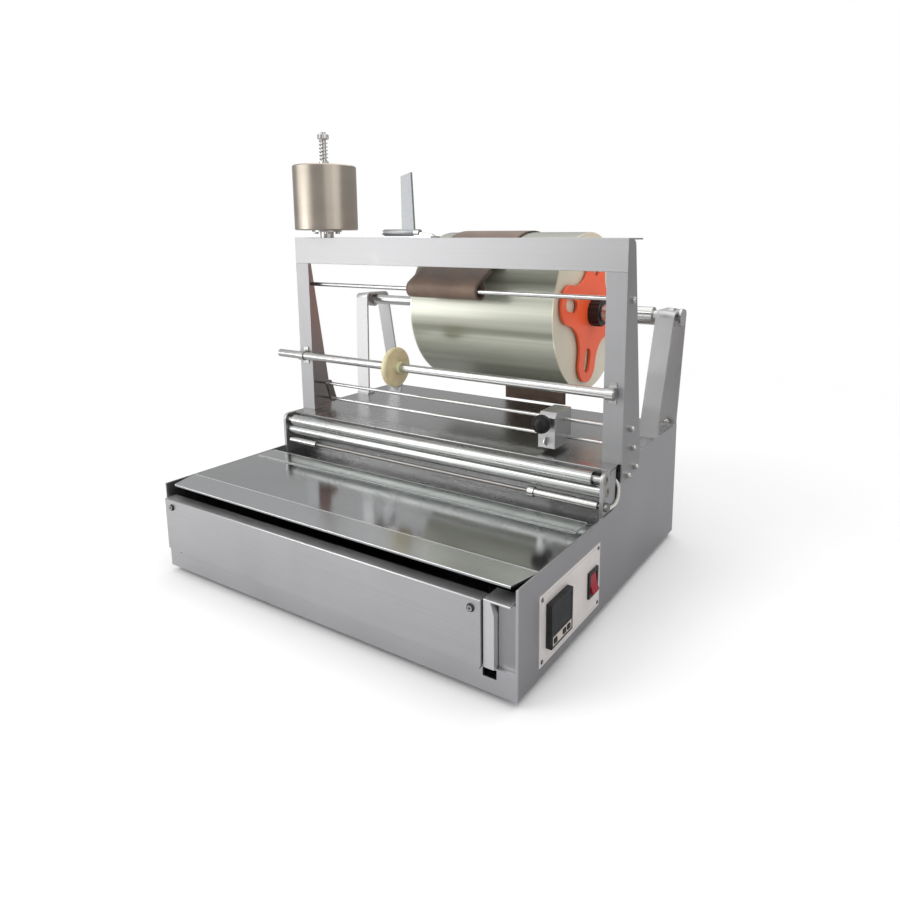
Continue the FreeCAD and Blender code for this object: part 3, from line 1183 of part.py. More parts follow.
def make_lever():
    """Tape lever on its barrel, and the bracket with the pin that it swings on."""
    outline = [
        ("-lever_width / 2", "0"), ("lever_width / 2", "0"), ("lever_width / 2 - lever_taper", "lever_reach"),
        ("-lever_width / 2", "lever_reach - lever_slant"),
    ]
    blade = padded("lever_blade", "xz", outline, "lever_gauge", ("lever_x", "lever_y - lever_gauge / 2", "lever_z"))
    left, length = "lever_x - barrel_left", "barrel_left + barrel_right"
    barrel = rod("lever_barrel", "x", (left, "lever_y", "lever_z"), length, "barrel_dia")
    bore = rod("lever_bore", "x", (f"{left} - 1", "lever_y", "lever_z"), f"{length} + 2", "pin_dia + 2 * run_gap")
    publish("tape_lever", cut("lever", join("lever_solid", blade, barrel), bore))

    x = "lever_x + barrel_right + seat_gap"
    knuckle = rod("lever_knuckle", "x", (x, "lever_y", "lever_z"), "knuckle_width", "barrel_dia")
    plate = box("bracket_plate", (x, "lever_y - bracket_depth / 2", "beam_z"),
                ("bracket_width", "bracket_depth", "gauge"))
    outline = [
        ("0", "0"), ("bracket_width", "0"), ("bracket_width - web_gauge", "web_tip"),
        ("knuckle_width", "barrel_dia * 0.6"), ("0", "barrel_dia * 0.6"),
    ]
    web = padded("bracket_web", "xz", outline, "web_gauge", (x, "lever_y - web_gauge / 2", "beam_z + gauge"))
    head_x = f"{left} - pin_head_width - seat_gap"
    pin = rod("lever_pin", "x", (head_x, "lever_y", "lever_z"),
              f"pin_head_width + 2 * seat_gap + {length} + knuckle_width", "pin_dia")
    head = rod("pin_head", "x", (head_x, "lever_y", "lever_z"), "pin_head_width", "pin_head_dia")
    publish("lever_bracket", join("lever_bracket", knuckle, plate, web, pin, head))


def chuck_plate(word):
    """The four-lobed plate: a cross whose ends are rounded full and whose inner corners are hollow curves."""
    half, reach = "chuck_arm_width / 2", "chuck_reach"
    outline = [
        (reach, f"-{half}"), (reach, half), (half, half), (half, reach), (f"-{half}", reach), (f"-{half}", half),
        (f"-{reach}", half), (f"-{reach}", f"-{half}"), (f"-{half}", f"-{half}"), (f"-{half}", f"-{reach}"),
        (half, f"-{reach}"), (half, f"-{half}"),
    ]
    turn = Rotation(Vector(1, 0, 0), value("chuck_turn"))
    plate = padded(f"chuck_cross_{word}", "yz", outline, "chuck_gauge", ORIGIN, turn)
    tip = value(reach) - 0.1
    plate = rounded(plate, "chuck_web_round", lambda a, b: abs(a.x - b.x) > 1 and max(abs(a.y), abs(a.z)) < tip)
    return rounded(plate, f"{half} - gauge / 10", lambda a, b: abs(a.x - b.x) > 1
                   and max(abs(a.y), abs(a.z)) > tip)


def chuck(side):
    """Plate with slotted lobes, plug in the core, and bearing bore; built facing +X at the axis."""
    word = side_word(side)
    slots = []
    for index in range(4):
        half = "chuck_slot_width / 2"
        outline = [
            (f"chuck_slot_start - {half}", f"-{half}"), (f"chuck_slot_end + {half}", f"-{half}"),
            (f"chuck_slot_end + {half}", half), (f"chuck_slot_start - {half}", half),
        ]
        slot = padded(f"chuck_slot_{word}_{index}", "yz", outline, "3 * chuck_gauge", ("0", "0", "0"),
                      Rotation(Vector(1, 0, 0), value("chuck_turn") + 90 * index))
        slots.append(rounded(slot, f"{half} - gauge / 100", lambda a, b: abs(a.x - b.x) > 1))
    plug = rod(f"chuck_plug_{word}", "x", ("-plug_length", "0", "0"), "plug_length + chuck_gauge / 2",
               "core_dia - 2 * core_wall - 2 * plug_gap")
    spigot = rod(f"chuck_spigot_{word}", "x", ("chuck_gauge / 2", "0", "0"), "chuck_gauge / 2 + nut_width - spigot_short",
                 "shaft_dia + 2 * spigot_wall")
    bore = rod(f"chuck_bore_{word}", "x", ("-2 * plug_length", "0", "0"), "4 * plug_length",
               "shaft_dia + 2 * run_gap")
    solid = cut(f"chuck_{word}", join(f"chuck_solid_{word}", chuck_plate(word), plug, spigot), bore, *slots)
    flip = Rotation() if side > 0 else Rotation(Vector(0, 0, 1), 180)
    return put(solid, (f"mid_x + roll_place + {side} * chuck_start", "roll_y", "roll_z"), flip)


def chuck_nut(side):
    """Ribbed nut on the chuck's spigot."""
    word = side_word(side)
    ring = tube(f"nut_ring_{word}", "x", ORIGIN, "nut_width", "nut_dia", "shaft_dia + 2 * (spigot_wall + bore_gap)")
    ribs = []
    for index in range(int(value("nut_rib_count"))):
        angle = f"({index} * 360 / nut_rib_count)"
        at = ("nut_rib_inset", f"(nut_dia / 2) * cos({angle})", f"(nut_dia / 2) * sin({angle})")
        ribs.append(rod(f"nut_rib_{word}_{index}", "x", at, "nut_width - 2 * nut_rib_inset", "nut_rib"))
    start = "chuck_gauge" if side > 0 else "-chuck_gauge - nut_width"
    return put(join(f"chuck_nut_{word}", ring, *ribs),
               (f"mid_x + roll_place + {side} * chuck_start + {start}", "roll_y", "roll_z"))


def make_roll():
    """Film on its core, the two chucks and the shaft with the disc at its right end."""
    at = ("mid_x + roll_place - roll_width / 2", "roll_y", "roll_z")
    publish("film_roll", tube("film_roll", "x", at, "roll_width", "roll_dia", "core_dia"))
    publish("film_core", tube("film_core", "x", at, "roll_width", "core_dia - 2 * core_gap", "core_dia - 2 * core_wall"))
    publish("roll_chuck_left", chuck(-1))
    publish("roll_chuck_right", chuck(1))
    publish("chuck_nuts", group("chuck_nuts", chuck_nut(-1), chuck_nut(1)))
    left, right = "mid_x - shaft_left", "mid_x + shaft_right"
    sleeve_start = "mid_x + roll_place + chuck_start + chuck_gauge + nut_width + sleeve_gap"
    pieces = [
        rod("shaft_bar", "x", (left, "roll_y", "roll_z"), "shaft_left + shaft_right", "shaft_dia"),
        rod("shaft_cap", "x", (f"{right} - shaft_cap_width", "roll_y", "roll_z"), "shaft_cap_width",
            "shaft_cap_dia"),
        rod("shaft_sleeve", "x", (sleeve_start, "roll_y", "roll_z"),
            f"mid_x + stand_place - sleeve_spare - ({sleeve_start})", "sleeve_dia"),
    ]
    publish("roll_shaft", join("roll_shaft", *pieces))


def make_stand(side):
    """A bent bar over the shaft, its two feet turned inwards, and the eye that the shaft lies in."""
    word = side_word(side)
    inner_top, outer_top = "shaft_dia / 2", "shaft_dia / 2 + stand_gauge"
    low, wall = "-stand_drop - drill", "stand_gauge * 1.02"
    outline = [
        ("-stand_front", low), ("-stand_top_front", outer_top), ("stand_top_rear", outer_top), ("stand_rear", low),
        (f"stand_rear - {wall}", low), (f"stand_top_rear - {wall}", inner_top),
        (f"-stand_top_front + {wall}", inner_top), (f"-stand_front + {wall}", low),
    ]
    loop = padded(f"stand_loop_{word}", "yz", outline, "stand_width", ORIGIN)
    loop = rounded(loop, "stand_bend", lambda a, b: abs(a.x - b.x) > 5
                   and abs(a.z - value(outer_top)) < 0.01)
    loop = rounded(loop, "stand_bend - stand_gauge", lambda a, b: abs(a.x - b.x) > 5
                   and abs(a.z - value(inner_top)) < 0.01)
    foot_x = f"mid_x + {side} * stand_place"
    top_x = f"mid_x + {side} * (stand_place + stand_shift)"
    put(loop, (f"{top_x} - stand_width / 2", "roll_y", "roll_z"), Rotation(Vector(0, 1, 0), side * value("stand_lean")))
    below = box(f"stand_trim_{word}", (f"{foot_x} - 2 * stand_width", "roll_y - roll_dia / 2", "deck_z - deck_height"),
                ("4 * stand_width", "roll_dia", "deck_height"))
    pieces = [cut(f"stand_legs_{word}", loop, below)]
    for end, y in (("front", "roll_y - stand_front"), ("rear", "roll_y + stand_rear - stand_foot")):
        pieces.append(box(f"stand_foot_{word}_{end}", (f"{foot_x} - stand_width / 2", y, "deck_z"),
                          ("stand_width", "stand_foot", "stand_foot_gauge")))
    pieces.append(rod(f"stand_eye_{word}", "x", (f"{top_x} - eye_width / 2", "roll_y", "roll_z"), "eye_width",
                      "shaft_dia + 2 * eye_wall"))
    bore = rod(f"stand_bore_{word}", "x", (f"{top_x} - drill", "roll_y", "roll_z"), "2 * drill",
               "shaft_dia + 2 * run_gap")
    publish(f"stand_{word}", cut(f"stand_{word}", join(f"stand_solid_{word}", *pieces), bore))


def strap_shape():
    """The strap from its loose loop on the upper rod, over the roll, to the tail that hangs behind."""
    gauge, gap = value("strap_gauge"), value("strap_gap")
    small, large = value("strap_loop / 2"), value("roll_dia / 2") + gap
    loop_y = value("upper_rod_y - upper_rod_dia / 2") + small - gap
    loop_at = Vector(0, loop_y, value("upper_rod_z"))
    roll_at = Vector(0, value("roll_y"), value("roll_z"))
    across = roll_at - loop_at
    # Square to the line that touches both circles from above.
    angle = atan2(across.z, across.y) + acos((small - large) / across.Length)
    normal = Vector(0, cos(angle), sin(angle))
    along = Vector(0, sin(angle), -cos(angle))

    def arc_band(centre, radius, start, end):
        def at(distance, turn):
            return centre + Vector(0, distance * cos(turn), distance * sin(turn))
        middle = (start + end) / 2
        outer, inner = radius + gauge, radius
        edges = [
            Part.Arc(at(outer, start), at(outer, middle), at(outer, end)).toShape(),
            Part.LineSegment(at(outer, end), at(inner, end)).toShape(),
            Part.Arc(at(inner, end), at(inner, middle), at(inner, start)).toShape(),
            Part.LineSegment(at(inner, start), at(outer, start)).toShape(),
        ]
        return Part.Face(Part.Wire(edges))

    def flat_band(start, heading, length, side):
        end = start + heading * length
        return Part.Face(Part.makePolygon([start, end, end + side * gauge, start + side * gauge, start]))

    on_loop, on_roll = loop_at + normal * small, roll_at + normal * large
    back_turn = angle + radians(value("strap_turn"))
    back_side = Vector(0, cos(back_turn), sin(back_turn))
    flap_start = on_loop + along * value("strap_lap")
    flap_under = flap_start + along * value("strap_lap_run")
    lap = Part.makePolygon([
        loop_at + back_side * small, loop_at + back_side * (small + gauge), flap_under - normal * gauge,
        flap_under, flap_start, loop_at + back_side * small,
    ])
    bands = [
        flat_band(on_loop, along, (on_roll - on_loop).Length, normal),
        arc_band(roll_at, large, 0.0, angle),
        arc_band(loop_at, small, angle, back_turn),
        flat_band(roll_at + Vector(0, large, 0), Vector(0, 0, -1), value("strap_tail"), Vector(0, 1, 0)),
        flat_band(flap_start, along, value("strap_flap"), normal * -1),
        Part.Face(lap),
    ]
    width = Vector(value("strap_width"), 0, 0)
    solids = [face.extrude(width) for face in bands]
    return solids[0].fuse(solids[1:]).removeSplitter()


def make_strap():
    """Leather strap that brakes the roll."""
    at = ("mid_x + strap_place - strap_width / 2", "0", "0")
    publish("brake_strap", modelled("brake_strap", strap_shape(), at))


def make_rollers():
    """Feed rollers in their brackets."""
    for level in ("lower", "upper"):
        y, z = f"{level}_roller_y", f"{level}_roller_z"
        reach = f"(bracket_inside - {level}_shoulder)"
        core = rod(f"{level}_roller_body", "x", (f"mid_x - {reach}", y, z), f"2 * {reach}", "roller_dia")
        axle = rod(f"{level}_roller_axle", "x", ("mid_x - bracket_inside - journal_reach", y, z),
                   "2 * (bracket_inside + journal_reach)", "journal_dia")
        publish(f"{level}_feed_roller", join(f"{level}_roller", core, axle))
    lead, bush = "lower_roller_y - roller_bracket_lead", "journal_dia + 2 * (run_gap + bush_wall)"
    outline = [
        (lead, "channel_z"), ("riser_y - seat_gap", "channel_z"), ("riser_y - seat_gap", "deck_z - gauge - seat_gap"),
        ("deck_y + gauge + seat_gap", "deck_z - gauge - seat_gap"),
        ("deck_y + gauge + seat_gap", "deck_z - lip_drop - seat_gap"),
        ("deck_y - seat_gap", "deck_z - lip_drop - seat_gap"), ("deck_y - seat_gap", "deck_z"), (lead, "deck_z"),
    ]
    bushes = []
    for side, x in ((-1, "mid_x - wall_inside"), (1, "mid_x + bracket_inside")):
        word = side_word(side)
        plate = padded(f"bracket_blank_{word}", "yz", outline, "roller_bracket_gauge", (x, "0", "0"))
        plate = rounded(plate, "roller_bracket_round", lambda a, b: abs(a.x - b.x) > 3
                        and abs(a.y - value(lead)) < 0.01 and abs(a.z - value("deck_z")) < 0.01)
        holes = [rod(f"bracket_rod_hole_{word}", "x", (f"{x} - 1", "cutting_rod_y", "cutting_rod_z"),
                     "roller_bracket_gauge + 2", "cutting_rod_dia + 2 * bore_gap")]
        for level in ("lower", "upper"):
            y, z = f"{level}_roller_y", f"{level}_roller_z"
            holes.append(rod(f"bracket_seat_{level}_{word}", "x", (f"{x} - 1", y, z), "roller_bracket_gauge + 2",
                             f"{bush} + 2 * bush_gap"))
            bushes.append(tube(f"bush_{level}_{word}", "x", (x, y, z), "roller_bracket_gauge", bush,
                               "journal_dia + 2 * run_gap"))
        publish(f"roller_bracket_{word}", cut(f"roller_bracket_{word}", plate, *holes))
    publish("roller_bushes", group("roller_bushes", *bushes))


def make_cutting_rod():
    """Heated cutting rod with the terminal on its right end, its two sleeves and a collar."""
    y, z = "cutting_rod_y", "cutting_rod_z"
    left = "mid_x - bracket_inside - journal_reach"
    terminal_x = "mid_x + wall_inside + lead_stand"
    bar = rod("cutting_rod_bar", "x", (left, y, z), f"{terminal_x} + terminal_width - ({left})", "cutting_rod_dia")
    terminal = rod("rod_terminal", "x", (terminal_x, y, z), "terminal_width", "terminal_dia")
    publish("cutting_rod", join("cutting_rod", bar, terminal))
    bore = "cutting_rod_dia + 2 * rod_sleeve_gap"
    right = "mid_x + bracket_inside - rod_sleeve_spare - rod_sleeve_right"
    publish("cutting_rod_sleeves", group(
        "cutting_rod_sleeves",
        tube("sleeve_left", "x", ("mid_x - bracket_inside + rod_sleeve_inset", y, z), "rod_sleeve_left",
             "rod_sleeve_dia", bore),
        tube("sleeve_right", "x", (right, y, z), "rod_sleeve_right", "rod_sleeve_dia", bore),
        tube("sleeve_collar", "x", (f"{right} - collar_gap - collar_width", y, z), "collar_width", "collar_dia", bore),
    ))


def bent_tube(points, diameter, share):
    """A round lead along straight runs, each corner an arc that takes up a share of the shorter run."""
    edges = []
    start = points[0]
    for before, corner, after in zip(points, points[1:], points[2:]):
        back, ahead = (before - corner).normalize(), (after - corner).normalize()
        half = acos(max(-1.0, min(1.0, back.dot(ahead)))) / 2
        setback = share * min((before - corner).Length, (after - corner).Length)
        radius = setback * tan(half)
        print(f"lead bend radius {radius:.1f} mm")
        first, second = corner + back * setback, corner + ahead * setback
        middle = corner + (back + ahead).normalize() * (radius / sin(half) - radius)
        edges.append(Part.LineSegment(start, first).toShape())
        edges.append(Part.Arc(first, middle, second).toShape())
        start = second
    edges.append(Part.LineSegment(start, points[-1]).toShape())
    ring = Part.Wire(Part.makeCircle(diameter / 2, points[0], (points[1] - points[0]).normalize()))
    return Part.Wire(edges).makePipeShell([ring], True, True)


def make_lead():
    """Heat-resistant lead from the cutting rod's terminal, through the wall's notch, to the terminal block."""
    route = [
        ("lead_x", "cutting_rod_y + lead_end_gap", "table_z + lead_end_rise"),
        ("lead_x", "lead_y", "table_z + lead_rise"),
        ("lead_x", "lead_y", "deck_z - lead_exit"),
        ("mid_x + half_width - lead_inset", "lead_y", "deck_z - lead_exit"),
        ("block_end + lead_run", "block_middle", "floor_z + block_height / 2"),
        ("block_end + lead_stand", "block_middle", "floor_z + block_height / 2"),
    ]
    points = [Vector(*(value(text) for text in place)) for place in route]
    shape = bent_tube(points, value("lead_dia"), value("lead_share"))
    publish("heater_lead", modelled("heater_lead", shape))
    print(f"lead length {shape.Volume / value('3.14159265 * lead_dia^2 / 4'):.1f} mm")


def make_inside():
    """Heater and electrics inside the base."""
    publish("heater_plate", box("heater_plate", ("mid_x - half_width + heater_inset", "front_y + ledge_setback",
                                                 "table_z - table_gauge - heater_gauge"),
                                ("base_width - 2 * heater_inset", "heater_depth", "heater_gauge")))
    x, y = "mid_x + relay_place", "front_y + relay_setback"
    pieces = [box("relay_sink", (x, y, "floor_z"), ("relay_width", "relay_depth", "sink_gauge"))]
    for index in range(int(value("fin_count"))):
        fin_x = f"{x} + {index} * (relay_width - fin_gauge) / (fin_count - 1)"
        pieces.append(box(f"relay_fin_{index}", (fin_x, y, "floor_z + sink_gauge"),
                          ("fin_gauge", "relay_depth", "fin_height")))
    pieces.append(box("relay_block", (f"{x} + relay_margin", f"{y} + (relay_depth - relay_block_depth) / 2",
                                      "floor_z + sink_gauge + fin_height"),
                      ("relay_block_width", "relay_block_depth", "relay_block_height")))
    publish("solid_state_relay", join("solid_state_relay", *pieces))
    x, y = "mid_x + block_place", "front_y + block_setback"
    pieces = [box("terminal_base", (x, y, "floor_z"), ("block_width", "block_depth", "block_height"))]
    for index in range(int(value("block_wall_count"))):
        wall_x = f"{x} + {index} * (block_width - block_wall) / (block_wall_count - 1)"
        pieces.append(box(f"terminal_wall_{index}", (wall_x, y, "floor_z + block_height"),
                          ("block_wall", "block_depth", "block_wall_rise")))
    publish("terminal_block", join("terminal_block", *pieces))


def make_gland():
    """Inlet for the mains lead in the rear wall."""
    inner_face = "rear_y - gauge"
    pieces = [
        rod("gland_neck_bar", "y", ("gland_x", f"{inner_face} - gland_neck", "gland_z"), "gland_neck + gauge",
            "gland_thread"),
        prism("gland_hexagon", "y", ("gland_x", "rear_y", "gland_z"), "gland_hex_width", "gland_hex"),
        cone("gland_dome", "y", ("gland_x", "rear_y + gland_hex_width", "gland_z"), "gland_dome_length",
             "gland_dome_dia", "gland_tip_dia"),
        prism("gland_locknut", "y", ("gland_x", f"{inner_face} - gland_lock_width", "gland_z"), "gland_lock_width",
              "gland_lock"),
    ]
    bore = rod("gland_passage", "y", ("gland_x", "rear_y - 2 * drill", "gland_z"), "4 * drill", "gland_bore")
    publish("cable_gland", cut("cable_gland", join("gland_solid", *pieces), bore))


def check_and_export():
    """Recompute, refuse anything broken, and write one file for each piece."""
    doc.recompute()
    broken = [item.Name for item in doc.Objects if "Invalid" in item.State or "Error" in item.State]
    if broken:
        raise RuntimeError(f"objects that failed: {broken}")
    if len(nodes) > 60:
        raise RuntimeError(f"{len(nodes)} pieces are more than 60")
    for item in nodes:
        if item.Shape.isNull() or not item.Shape.isValid() or not item.Shape.Solids:
            raise RuntimeError(f"{item.Label} has no valid solid")
    os.makedirs("parts", exist_ok=True)
    for item in nodes:
        item.Shape.exportStep(os.path.join("parts", f"{item.Label}.step"))
    print(f"{len(nodes)} pieces written")


make_shell()
make_deck()
make_table()
make_front()
make_underside()
make_control_panel()
make_frame()
make_rods()
make_cutter()
make_spool()
make_lever()
make_roll()
make_stand(-1)
make_stand(1)
make_strap()
make_rollers()
make_cutting_rod()
make_lead()
make_inside()
make_gland()
check_and_export()
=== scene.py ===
"""The looks of a bench-top overwrapping machine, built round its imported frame."""

import logging
import math
from abc import ABC, abstractmethod
from collections.abc import Callable, Sequence
from dataclasses import dataclass
from enum import Enum

import bpy
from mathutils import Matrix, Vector


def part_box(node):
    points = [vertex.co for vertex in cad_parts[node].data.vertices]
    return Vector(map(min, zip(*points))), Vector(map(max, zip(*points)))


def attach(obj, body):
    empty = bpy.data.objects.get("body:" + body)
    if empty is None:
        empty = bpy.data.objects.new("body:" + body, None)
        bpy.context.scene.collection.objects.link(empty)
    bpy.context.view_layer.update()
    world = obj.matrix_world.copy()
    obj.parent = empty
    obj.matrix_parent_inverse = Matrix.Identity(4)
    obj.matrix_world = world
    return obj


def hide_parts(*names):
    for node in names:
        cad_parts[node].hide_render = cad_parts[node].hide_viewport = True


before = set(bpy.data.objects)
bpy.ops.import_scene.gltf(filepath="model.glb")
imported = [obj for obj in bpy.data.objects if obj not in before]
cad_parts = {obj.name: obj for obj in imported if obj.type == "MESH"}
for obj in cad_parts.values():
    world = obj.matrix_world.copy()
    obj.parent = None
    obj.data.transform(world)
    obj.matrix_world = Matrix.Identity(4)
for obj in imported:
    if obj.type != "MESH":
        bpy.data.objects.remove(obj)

LOG = logging.getLogger("overwrapper")
MM = 0.001
MACHINE = "machine"
WELD_GAP = 0.02 * MM
SHARP_ANGLE = math.radians(32)
BEVEL_FACES = 2

Colour = tuple[float, float, float]
Point = tuple[float, float, float]


class Grain(Enum):
    """The way that brushing, turning or winding marks run on a surface, as features per metre."""

    ALONG_X = (3.0, 1100.0, 1100.0)
    ALONG_Y = (1100.0, 3.0, 1100.0)
    ALONG_Z = (1100.0, 1100.0, 3.0)


def shade(tint: Colour, factor: float, lift: float = 0.0) -> Colour:
    """A colour made darker or lighter by a factor, then lifted, and kept within range."""
    return tuple(min(1.0, factor * part + lift) for part in tint)


class Channel:
    """One output socket of a material's nodes, so that shader maths reads as arithmetic."""

    def __init__(self, graph: "Graph", socket: bpy.types.NodeSocket) -> None:
        """Wrap a socket.

        Args:
            graph: The graph that new Math nodes go into.
            socket: The output that this channel stands for.
        """
        self.graph = graph
        self.socket = socket

    def _math(self, operation: str, first: "Number", second: "Number") -> "Channel":
        """One Math node on two values."""
        return self.graph.node("ShaderNodeMath", {"operation": operation}, {0: first, 1: second})

    def __add__(self, other: "Number") -> "Channel":
        """This plus another."""
        return self._math("ADD", self, other)

    def __radd__(self, other: float) -> "Channel":
        """A number plus this."""
        return self._math("ADD", other, self)

    def __sub__(self, other: "Number") -> "Channel":
        """This less another."""
        return self._math("SUBTRACT", self, other)

    def __rsub__(self, other: float) -> "Channel":
        """A number less this."""
        return self._math("SUBTRACT", other, self)

    def __mul__(self, other: "Number") -> "Channel":
        """This times another."""
        return self._math("MULTIPLY", self, other)

    def __rmul__(self, other: float) -> "Channel":
        """A number times this."""
        return self._math("MULTIPLY", other, self)

    def __pow__(self, other: "Number") -> "Channel":
        """This raised to a power."""
        return self._math("POWER", self, other)

    def __gt__(self, other: "Number") -> "Channel":
        """1 where this is larger than another, and 0 elsewhere."""
        return self._math("GREATER_THAN", self, other)

    def __lt__(self, other: "Number") -> "Channel":
        """1 where this is smaller than another, and 0 elsewhere."""
        return self._math("LESS_THAN", self, other)

    def __abs__(self) -> "Channel":
        """This without its sign."""
        return self._math("ABSOLUTE", self, 0.0)


Number = Channel | float


class Graph:
    """The nodes of one material or world."""

    def __init__(self, tree: bpy.types.NodeTree) -> None:
        """Start from an empty tree.

        Args:
            tree: The node tree, which is emptied.
        """
        self.tree = tree
        self.tree.nodes.clear()

    def node(self, kind: str, settings: dict | None = None, sockets: dict | None = None,
             output: int | str = 0) -> Channel:
        """Add any node.

        Args:
            kind: The node's type.
            settings: Its properties, which are set first.
            sockets: Values or channels for its inputs, by name or number.
            output: The output that is wanted.

        Returns:
            That output as a channel.
        """
        made = self.tree.nodes.new(kind)
        for name, setting in (settings or {}).items():
            setattr(made, name, setting)
        for key, given in (sockets or {}).items():
            if isinstance(given, Channel):
                self.tree.links.new(given.socket, made.inputs[key])
            else:
                made.inputs[key].default_value = given
        wanted = made.outputs[output] if len(made.outputs) else None
        return Channel(self, wanted)

    def place(self, stretch: Point = (1.0, 1.0, 1.0)) -> Channel:
        """Places on the object in metres, times a stretch for each axis."""
        here = self.node("ShaderNodeTexCoord", output="Object")
        return self.node("ShaderNodeVectorMath", {"operation": "MULTIPLY"}, {0: here, 1: stretch})

    def axis(self, letter: str) -> Channel:
        """One coordinate on the object, in metres."""
        here = self.node("ShaderNodeTexCoord", output="Object")
        return self.node("ShaderNodeSeparateXYZ", sockets={0: here}, output=letter)

    def away(self, letter: str, centre: float) -> Channel:
        """Distance in metres from a centre along one axis."""
        return abs(self.axis(letter) - centre)

    def radius(self, letters: str, centre: tuple[float, float]) -> Channel:
        """Distance in metres from an axis line that passes through a centre.

        Args:
            letters: The two coordinates square to the line, such as "YZ".
            centre: The line's place in those two coordinates.

        Returns:
            The distance.
        """
        first = self.axis(letters[0]) - centre[0]
        second = self.axis(letters[1]) - centre[1]
        return (first * first + second * second) ** 0.5

    def noise(self, scale: float, detail: float = 3.0, stretch: Point = (1.0, 1.0, 1.0),
              rough: float = 0.5) -> Channel:
        """Smooth noise from 0 to 1.

        Args:
            scale: Features per metre, before the stretch.
            detail: Octaves.
            stretch: A factor for each axis.
            rough: How strong the finer octaves are.

        Returns:
            The noise.
        """
        return self.node("ShaderNodeTexNoise", sockets={
            "Vector": self.place(stretch), "Scale": scale, "Detail": detail, "Roughness": rough})

    def ramp(self, mask: Channel, low: float, high: float) -> Channel:
        """A mask spread so that low becomes 0 and high becomes 1, held between them."""
        return self.node("ShaderNodeMapRange", {"clamp": True}, {0: mask, 1: low, 2: high, 3: 0.0, 4: 1.0})

    def sine(self, angle: Channel) -> Channel:
        """A wave from 0 to 1 over an angle in radians."""
        return self.node("ShaderNodeMath", {"operation": "SINE"}, {0: angle}) * 0.5 + 0.5

    def mix(self, mask: Number, first: Channel | Colour, second: Channel | Colour) -> Channel:
        """A colour that turns from the first to the second as the mask grows.

        Args:
            mask: 0 for the first colour, 1 for the second.
            first: A colour or a channel.
            second: A colour or a channel.

        Returns:
            The mixed colour.
        """
        colours = [given if isinstance(given, Channel) else (*given, 1.0) for given in (first, second)]
        return self.node("ShaderNodeMix", {"data_type": "RGBA"}, {0: mask, 6: colours[0], 7: colours[1]},
                         output=2)

    def bump(self, height: Channel, depth: float, strength: float) -> Channel:
        """A normal from a height of 0 to 1 that is depth metres deep."""
        return self.node("ShaderNodeBump", sockets={"Strength": strength, "Distance": depth,
                                                    "Height": height})


def new_material(name: str, **sockets: object) -> tuple[bpy.types.Material, Graph, Callable[..., None]]:
    """Start a material with one Principled BSDF.

    Args:
        name: The material's name.
        **sockets: Constants for the shader, with underscores for spaces.

    Returns:
        The material, its graph, and a function that sets or links the shader's sockets by name.
    """
    material = bpy.data.materials.new(name)
    material.use_nodes = True
    graph = Graph(material.node_tree)
    shader = material.node_tree.nodes.new("ShaderNodeBsdfPrincipled")
    output = material.node_tree.nodes.new("ShaderNodeOutputMaterial")
    graph.tree.links.new(shader.outputs[0], output.inputs["Surface"])

    def link(**channels: object) -> None:
        """Set or link the shader's inputs.

        Args:
            **channels: Channels, colours or numbers, with underscores for spaces.
        """
        for key, given in channels.items():
            wanted = key.replace("_", " ")
            socket = next(each for each in shader.inputs if each.name.lower() == wanted)
            if isinstance(given, Channel):
                graph.tree.links.new(given.socket, socket)
            elif isinstance(given, tuple) and len(given) == 3:
                socket.default_value = (*given, 1.0)
            else:
                socket.default_value = given

    link(**sockets)
    return material, graph, link


@dataclass(frozen=True)
class Finish(ABC):
    """A surface finish, named as its material is."""

    name: str

    @abstractmethod
    def material(self) -> bpy.types.Material:
        """Build the finish as a material."""


@dataclass(frozen=True)
class BrushedSteel(Finish):
    """Sheet steel with straight brushing, hazy smears and fine scratches, and painted light in front of a
    plane.

    Smears, prints and scratches are in features per metre, and front is the plane's Y.
    """

    tint: Colour = (0.43, 0.43, 0.44)
    roughness: float = 0.38
    grain: Grain = Grain.ALONG_X
    front: float = -1.0
    depth: float = 0.010 * MM
    # How much the painted light brightens the steel in front of the plane.
    painted_light_gain: float = 1.4
    smears: float = 8.0
    prints: float = 26.0
    scratches: float = 60.0
    scratch_stretch: Point = (1.0, 1.0, 7.0)

    def material(self) -> bpy.types.Material:
        """Build the finish.

        Returns:
            The material.
        """
        material, graph, link = new_material(self.name, metallic=1.0)
        lines = graph.noise(1.0, 4.0, self.grain.value, 0.6)
        smears = graph.noise(self.smears, 4.0)
        prints = graph.ramp(graph.noise(self.prints, 5.0, rough=0.6), 0.60, 0.74)
        scratches = graph.ramp(graph.noise(self.scratches, 1.0, self.scratch_stretch), 0.70, 0.74)
        brushed = graph.ramp(lines * 0.45 + smears * 0.55, 0.33, 0.67)
        sides = graph.mix(brushed, shade(self.tint, 0.92), shade(self.tint, 1.07))
        # Painted light: in front of the plane the steel takes a brighter copy of its own colour.
        bright = shade(self.tint, self.painted_light_gain)
        painted_lit_fronts = graph.mix(brushed, shade(bright, 0.94), shade(bright, 1.06))
        link(
            base_color=graph.mix(graph.axis("Y") < self.front, sides, painted_lit_fronts),
            roughness=(self.roughness + (smears - 0.5) * 0.12 + (lines - 0.5) * 0.06 + scratches * 0.05
                       - prints * 0.04),
            normal=graph.bump(lines, self.depth, 0.3),
        )
        return material


